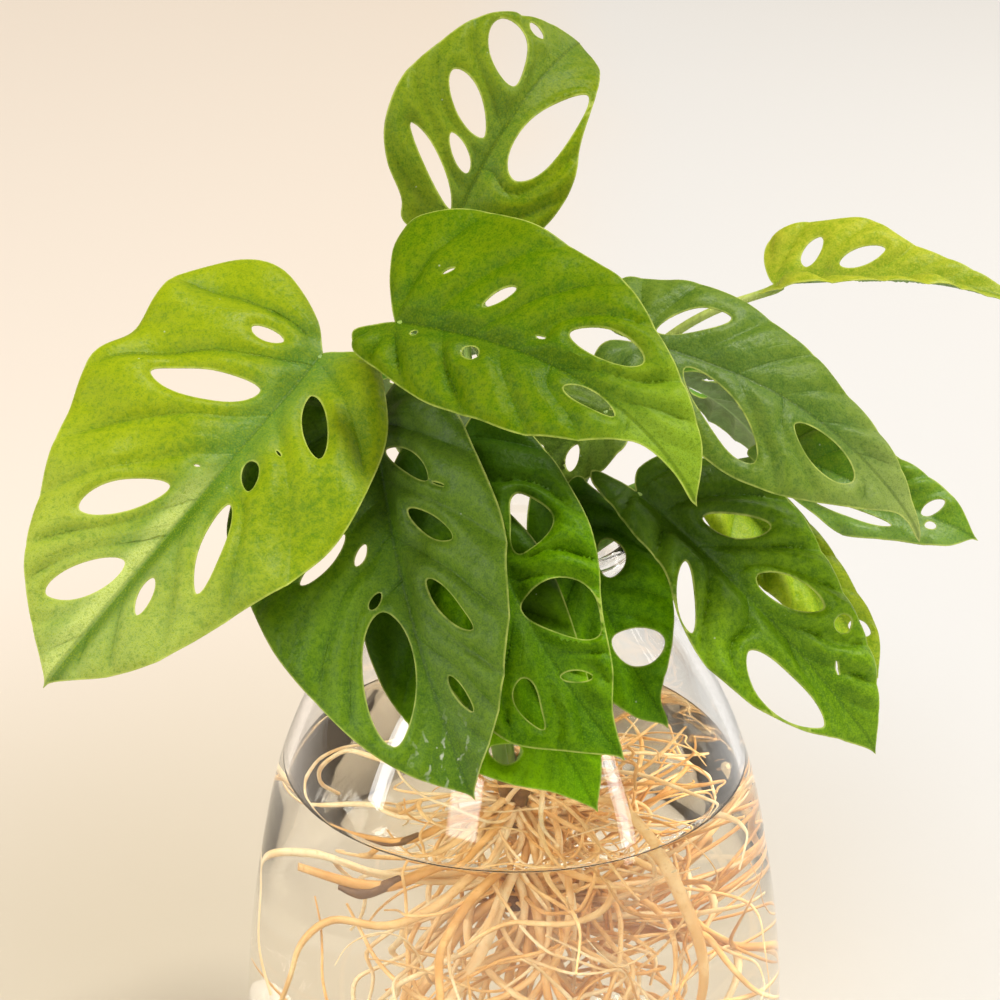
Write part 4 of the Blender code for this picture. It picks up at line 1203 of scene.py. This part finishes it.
def linear(value):
    return ((value / 255 + 0.055) / 1.055) ** 2.4 if value > 10 else value / 3294


def paint(*tone):
    """A colour from the 0-255 values that a colour picker shows, as linear light."""
    return tuple(linear(value) for value in tone)


def times(tree, first, second):
    return math_node(tree, "MULTIPLY", first, second)


def leaf_pattern():
    """The masks that all blades share, from each point's place on its leaf and among the side veins."""
    group = bpy.data.node_groups.new("leaf pattern", "ShaderNodeTree")
    place = add_node(group, "Attribute", attribute_name="leaf_place").outputs["Vector"]
    veins = add_node(group, "Attribute", attribute_name="leaf_veins").outputs["Vector"]
    point = add_node(group, "TexCoord").outputs["Object"]
    place = add_node(group, "SeparateXYZ", {0: place})
    veins = add_node(group, "SeparateXYZ", {0: veins})
    across, edge = place.outputs["Y"], place.outputs["Z"]
    phase, gap = veins.outputs["X"], veins.outputs["Y"]
    out = math_node(group, "ABSOLUTE", across)

    def line(count):
        """How far the nearest vein lies, with `count` veins to each space between two side veins."""
        finer = times(group, phase, count)
        part = math_node(group, "SUBTRACT", finer, math_node(group, "ROUND", finer))
        return times(group, math_node(group, "ABSOLUTE", part), math_node(group, "DIVIDE", gap, count))

    wander = noise(group, point, scale=260.0)
    off = math_node(group, "SUBTRACT", wander, 0.5)
    shake = times(group, off, VEIN_SHAKE)
    side = math_node(group, "ADD", line(1.0), shake)
    fine = math_node(group, "ADD", line(FINE_VEINS), times(group, shake, FINE_SHAKE))
    own_vein = math_node(group, "ROUND", phase)
    own_vein = math_node(group, "MULTIPLY_ADD", math_node(group, "SIGN", across), OTHER_SIDE, own_vein)
    chance = add_node(group, "TexWhiteNoise", {"W": own_vein}, noise_dimensions="1D").outputs["Value"]
    clear = ramp(group, chance, 0.0, 1.0, FAINTEST_VEIN, 1.0)
    inner = times(group, ramp(group, edge, *VEIN_ENDS), clear)
    inner = times(group, inner, ramp(group, gap, *VEIN_ROOM))
    side_vein = times(group, ramp(group, side, *SIDE_VEIN), inner)
    fine_vein = times(group, ramp(group, fine, *FINE_VEIN), inner)

    bent = add_node(group, "TexNoise", {"Vector": point, "Scale": 420.0, "Detail": 1.0}).outputs["Color"]
    drift = add_node(group, "VectorMath", {0: bent, 1: NET_DRIFT}, operation="MULTIPLY").outputs[0]
    spot = add_node(group, "VectorMath", {0: point, 1: drift}, operation="ADD").outputs[0]
    cells = add_node(group, "TexVoronoi", {"Vector": spot, "Scale": 430.0}, feature="DISTANCE_TO_EDGE")
    band = math_node(group, "MULTIPLY_ADD", off, EDGE_WANDER, out)
    near_edge = math_node(group, "MULTIPLY_ADD", wander, EDGE_WANDER, edge)
    small = noise(group, point, scale=330.0)
    blotch = times(group, math_node(group, "ADD", noise(group, point, scale=60.0), small), 0.5)
    mottle = {"Vector": point, "Scale": 700.0, "Detail": 2.0, "Roughness": 0.65}
    mottle = add_node(group, "TexNoise", mottle).outputs["Fac"]
    grains = add_node(group, "TexVoronoi", {"Vector": point, "Scale": 150.0}).outputs
    chosen = add_node(group, "SeparateColor", {0: grains["Color"]}).outputs[0]
    dust = times(group, ramp(group, grains["Distance"], *DUST_EDGES), ramp(group, chosen, *DUST_SHARE))
    dust = times(group, dust, 0.5)
    scratch = {"Vector": point, "Scale": 75.0, "Distortion": 7.0, "Detail": 3.0, "Detail Scale": 1.6}
    scratch = add_node(group, "TexWave", scratch).outputs["Fac"]
    broken = times(group, ramp(group, small, *SCRATCH_BREAKS), veins.outputs["Z"])
    scuff = times(group, ramp(group, scratch, *SCRATCH_EDGES), broken)
    height = times(group, side_vein, -0.9)
    for part, share in ((fine_vein, -0.25), (small, 1.6), (mottle, 0.7)):
        height = math_node(group, "ADD", height, times(group, part, share))
    masks = {
        "Side vein": side_vein,
        # Partly the greener tone along the side veins, partly painted shade in the valleys beside them.
        "Vein band and valley shade": times(group, ramp(group, side, *VEIN_BAND_AND_VALLEY_SHADE), inner),
        "Fine vein": fine_vein,
        "Net": ramp(group, cells.outputs["Distance"], *NET_VEIN),
        "Midrib": ramp(group, out, *MIDRIB),
        "Rib band": ramp(group, band, *RIB_BAND),
        "Near edge": ramp(group, near_edge, *NEAR_EDGE),
        "Rim": times(group, ramp(group, edge, *RIM_BAND), ramp(group, wander, *RIM_SHARES)),
        "Blotch": blotch,
        "Mottle": mottle,
        "Speck": noise(group, point, scale=2200.0),
        "Dust": dust,
        "Scuff": math_node(group, "MAXIMUM", dust, scuff),
        "Height": height,
        "Along": place.outputs["X"],
        "Across": across,
    }
    for name in masks:
        group.interface.new_socket(name, in_out="OUTPUT", socket_type="NodeSocketFloat")
    feed(group, group.nodes.new("NodeGroupOutput"), masks)
    return group


def overlaid(tree, masks, color, layers):
    """The colour with a tone laid over it for each layer, as its mask and strength say."""
    for mask, strength, tone in layers:
        color = mixed(tree, times(tree, masks[mask], strength), color, tone)
    return color


def leaf_material(name, leaf, pattern):
    """The upper face of a blade, from the tone along its veins, its own and the one between the veins."""
    material, tree, shader = new_material(name)
    tones = [paint(*tone) for tone in leaf["tones"]]
    vein, own, glow = tones
    masks = add_node(tree, "Group", node_tree=pattern).outputs
    yellowing = leaf["yellowing"]
    lit = times(tree, masks["Near edge"], EDGE_GLOW * yellowing)
    lit = math_node(tree, "MULTIPLY_ADD", ramp(tree, masks["Blotch"], *BLOTCH_EDGES), BLOTCH_GLOW, lit)
    lit = math_node(tree, "MULTIPLY_ADD", ramp(tree, masks["Mottle"], *MOTTLE_EDGES), MOTTLE_GLOW, lit)
    # Beside the veins the yellow between them gives way to the vein's green and to painted valley shade.
    lit = math_node(tree, "SUBTRACT", lit, times(tree, masks["Vein band and valley shade"], VEIN_TONE_AND_VALLEY_SHADE), clamp=True)
    color = mixed(tree, lit, own, glow)
    share = leaf["rib_sheen"]
    band = tuple(channel + (sheen - channel) * share for channel, sheen in zip(vein, paint(*RIB_SHEEN)))
    plain, yellowed = RIB_BAND_SHARES
    color = mixed(tree, times(tree, masks["Rib band"], plain + yellowed * yellowing), color, band)
    # Painted sheen: the blade grows paler towards its tip, as if a reflection lay there.
    if "tip_sheen" in leaf:
        start, end, strength, *tone = leaf["tip_sheen"]
        tip = math_node(tree, "MULTIPLY_ADD", masks["Blotch"], TIP_SHEEN_WANDER, masks["Along"])
        tip = ramp(tree, tip, start + TIP_SHEEN_WANDER / 2, end + TIP_SHEEN_WANDER / 2, 0.0, strength)
        color = mixed(tree, tip, color, paint(*(tone[0] if tone else TIP_SHEEN_TONE)))
    if "sheen_side" in leaf:
        sign, strength, tone, *reach = leaf["sheen_side"]
        low, high = reach or SHEEN_REACH
        half = times(tree, masks["Across"], sign)
        color = mixed(tree, ramp(tree, half, low, high, 0.0, strength), color, paint(*tone))
    # The lit rib is painted light and shade: a pale lit flank of the midrib's channel and a dark shaded one.
    if "lit_rib" in leaf:
        sign, start, end = leaf["lit_rib"]
        beyond = ramp(tree, masks["Along"], start, end)
        half = times(tree, masks["Across"], sign)
        for (far, near), strength, (outside, inside), tone in RIB_LIT_AND_SHADED_FLANKS:
            flank = ramp(tree, half, far, near, 0.0, strength)
            flank = times(tree, flank, ramp(tree, half, outside, inside))
            color = mixed(tree, times(tree, flank, beyond), color, paint(*tone))
    dark = tuple(channel * VEIN_SHADE for channel in vein)
    # The vein band darkens the valleys beside the veins: their greener tone and painted shade.
    color = overlaid(tree, masks, color, (
        ("Vein band and valley shade", 0.3, vein), ("Side vein", 0.22, dark),
        ("Fine vein", 0.08, dark), ("Midrib", 0.45, dark),
    ))
    for mask, low, high, strength, tone in GRAINS:
        color = mixed(tree, ramp(tree, masks[mask], low, high, 0.0, strength), color, tones[tone])
    # Painted shade: the blade darkens towards its heel, where other leaves shade it.
    if "heel_shadow" in leaf:
        start, end, strength = leaf["heel_shadow"]
        heel = math_node(tree, "MULTIPLY_ADD", masks["Blotch"], HEEL_SHADOW_WANDER, masks["Along"])
        heel = ramp(tree, heel, start + HEEL_SHADOW_WANDER / 2, end + HEEL_SHADOW_WANDER / 2, strength, 0.0)
        color = mixed(tree, heel, color, paint(*HEEL_SHADOW_TONE))
    worn = "Scuff" if "scuff" in leaf else "Dust"
    color = overlaid(tree, masks, color, (("Rim", 0.55, paint(*RIM_TONE)), (worn, 0.6, DUST_TONE)))
    satin = ramp(tree, masks["Blotch"], *SATIN)
    feed(tree, shader, {"Base Color": color, "Roughness": satin, "Specular IOR Level": leaf["gloss"]})
    add_bump(tree, shader, masks["Height"], 1.0, LEAF_RELIEF)
    return material


def underside_material(pattern):
    """The lower face of all blades: paler, duller, with the veins raised."""
    material, tree, shader = new_material("leaf underside")
    masks = add_node(tree, "Group", node_tree=pattern).outputs
    tone = paint(*UNDER_TONE)
    deep, pale = (tuple(channel * shade for channel in tone) for shade in UNDER_SHADES)
    color = mixed(tree, ramp(tree, masks["Blotch"], 0.35, 0.65), deep, tone)
    color = overlaid(tree, masks, color, (
        ("Side vein", 0.6, pale), ("Net", 0.25, pale), ("Midrib", 0.8, pale), ("Rim", 0.6, paint(*RIM_TONE)),
    ))
    feed(tree, shader, {"Base Color": color, "Roughness": 0.62, "Specular IOR Level": 0.3})
    add_bump(tree, shader, times(tree, masks["Height"], -1.0), 1.0, LEAF_RELIEF)
    return material


pattern = leaf_pattern()
underside = underside_material(pattern)
blades = {}
for number, (node, leaf) in enumerate(LEAVES.items()):
    leaf = {**USUAL_LEAF, **leaf}
    blade = Blade(leaf, number)
    blades[node] = blade
    rings = blade.rings()
    piece = flat_sheet("monstera_" + node, rings)
    lay_on_surface(piece, blade, rings, number)
    piece.data.materials.append(leaf_material(node + " upper face", leaf, pattern))
    piece.data.materials.append(underside)
    bpy.ops.object.shade_smooth_by_angle(angle=BLADE_EDGE)
    apply_modifier(piece, "WEIGHTED_NORMAL", keep_sharp=True)
    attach(piece, "root")
    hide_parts(node)


# The four vines are the stems of the cuttings. Each stands on its stub in the neck of the vase and is
# swollen at its nodes. The stalks of its leaves wrap the stem with a sheath and end in a joint.
STEM_GAP = 0.55
STEM_RADIUS = (2.3, 1.9)
STEM_RADII = 8
NODE_SWELLING = 1.28
NODE_SHARPNESS = 8
STALK_RADIUS = (1.5, 1.15)
STALK_STEPS = 26
SHEATH_RADIUS = 1.9
SHEATH_LENGTH = 9.0
JOINT_RADIUS = 1.45
JOINT_LENGTH = 7.0
JOINT_INSET = 2.0
SHEATH_FLARE = 1.5
JOINT_FLARE = 1.3
STALK_END = 0.5
HEEL_INSET = 1.5
HEEL_GAP = 0.4
RIB_THICKNESS = 1.3
STALK_ARRIVAL = 12.0
STALK_SINK = 1.45
YOUNG_LEAN = 0.8
STEM_MOTTLE = (0.35, 0.65)
STREAKS = (0.5, 0.7, 0.0, 0.4)
STREAK_SHADE = 0.6
DOTS = (0.16, 0.06, 0.0, 0.5)
DOT_SHADE = 1.8
STEM_RELIEF = (0.8, 0.0003)
STEM_TONES = (
    ("stem green", (84, 116, 40), (128, 156, 62)),
    ("stalk green", (104, 142, 46), (150, 180, 78)),
    ("young stalk green", (152, 176, 74), (190, 208, 108)),
)
VINES = {
    "vine_1": {
        "stem": ((-3, -5, STUB_TOP), (-9, -7, 180), (-15, -9, 212), (-19, -9, 238), (-23, -6, 256)),
        "stalks": (
            ("leaf_08", 1, (-6, -12, 30)), ("leaf_06", 2, (-2, -6, 30)), ("leaf_01", 3, (-10, 0, 30)),
            ("leaf_16", 4, (-6, 8, 14)),
        ),
    },
    "vine_2": {
        "stem": ((-2, 4, STUB_TOP), (-4, 7, 180), (-4, 8, 215), (-6, 8, 250), (-10, 8, 285)),
        "stalks": (
            ("leaf_07", 1, (0, -10, 30)), ("leaf_15", 2, (0, 8, 30)), ("leaf_02", 3, (0, -4, 40)),
            ("leaf_03", 4, (-4, 2, 12)),
        ),
    },
    "vine_3": {
        "stem": ((3, 3, STUB_TOP), (9, 7, 180), (14, 9, 212), (22, 9, 240), (32, 9, 264)),
        "stalks": (
            ("leaf_13", 1, (-4, -4, 30)), ("leaf_14", 2, (6, 6, 30)), ("leaf_04", 3, (13, 5, 32)),
            ("leaf_05", 4, (18, 0, 22)),
        ),
    },
    "vine_4": {
        "stem": ((3, -6, STUB_TOP), (8, -10, 180), (13, -13, 208), (18, -14, 226)),
        "stalks": (
            ("leaf_09", 1, (0, -2, 30)), ("leaf_11", 2, (14, 4, 22)), ("leaf_10", 2, (4, -6, 22)),
            ("leaf_12", 3, (14, 2, 22)),
        ),
    },
}


def stalk_line(start, leaving, blade, lean=0.0):
    """The line of a stalk, from the stem to inside the heel of its leaf. A lean brings it in from behind."""
    point, along, _, normal = blade.frame(np.array([HEEL_INSET]))
    normal = Vector(normal[0])
    end = Vector(point[0]) - normal * (RIB_THICKNESS + HEEL_GAP)
    arriving = normal.lerp(Vector(along[0]), lean).normalized() * STALK_ARRIVAL
    line = geometry.interpolate_bezier(start, start + Vector(leaving), end - arriving, end, STALK_STEPS + 1)
    return [*line, end + normal * STALK_SINK]


def stalk_radii(line):
    """The stalk's radius at each point: wide where it sheathes the stem, and again at the leaf's joint."""
    wide, slim = STALK_RADIUS
    gaps = [(b - a).length for a, b in zip(line, line[1:])]
    total = sum(gaps)
    radii = []
    gone = 0.0
    for gap in [*gaps, 0.0]:
        radius = wide + (slim - wide) * gone / total
        sheath = max(0.0, 1.0 - gone / SHEATH_LENGTH) ** SHEATH_FLARE
        joint = max(0.0, 1.0 - abs(total - gone - JOINT_INSET) / JOINT_LENGTH) ** JOINT_FLARE
        radii.append(radius + (SHEATH_RADIUS - radius) * sheath + (JOINT_RADIUS - radius) * joint)
        gone += gap
    radii[-1] *= STALK_END
    return radii


def stem_material(name, low, high):
    """Green bark: long streaks along the stem, small pale dots, and a satin skin."""
    material, tree, shader = new_material(name)
    place = add_node(tree, "TexCoord").outputs["Object"]
    drawn = add_node(tree, "Mapping", {"Vector": place, "Scale": (1.0, 1.0, 0.12)}).outputs[0]
    streak = noise(tree, drawn, scale=900.0, detail=3.0)
    patch = noise(tree, place, scale=60.0, detail=3.0)
    dots = add_node(tree, "TexVoronoi", {"Vector": place, "Scale": 700.0}).outputs["Distance"]
    color = mixed(tree, ramp(tree, patch, *STEM_MOTTLE), low, high)
    dark = tuple(channel * STREAK_SHADE for channel in low)
    pale = tuple(min(1.0, channel * DOT_SHADE) for channel in high)
    color = mixed(tree, ramp(tree, streak, *STREAKS), color, dark)
    color = mixed(tree, ramp(tree, dots, *DOTS), color, pale)
    feed(tree, shader, {"Base Color": color, "Roughness": 0.42})
    add_bump(tree, shader, streak, *STEM_RELIEF)
    return material


greens = [stem_material(name, paint(*low), paint(*high)) for name, low, high in STEM_TONES]
for name, vine in VINES.items():
    piece, curve = new_strands("monstera_" + name, 4)
    for green in greens:
        curve.materials.append(green)
    knots = [Vector(point) for point in vine["stem"]]
    starts = [knot.copy() for knot in knots]
    knots[0].z += STEM_GAP
    wide, slim = STEM_RADIUS
    radii = []
    last = len(knots) * STEM_RADII - 5
    for i in range(last + 1):
        part = i / last
        swelling = max(0.0, math.cos(part * (len(knots) - 1) * math.tau)) ** NODE_SHARPNESS
        radii.append((wide + (slim - wide) * part) * (1.0 + (NODE_SWELLING - 1.0) * swelling))
    add_strand(curve, knots, radii, 0, 10)
    for leaf, node, leaving in vine["stalks"]:
        young = leaf == "leaf_05"
        line = stalk_line(starts[node], leaving, blades[leaf], YOUNG_LEAN if young else 0.0)
        add_strand(curve, line, stalk_radii(line), 2 if young else 1, 1)
    made_mesh(piece)
    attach(piece, "root")
    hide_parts(name)
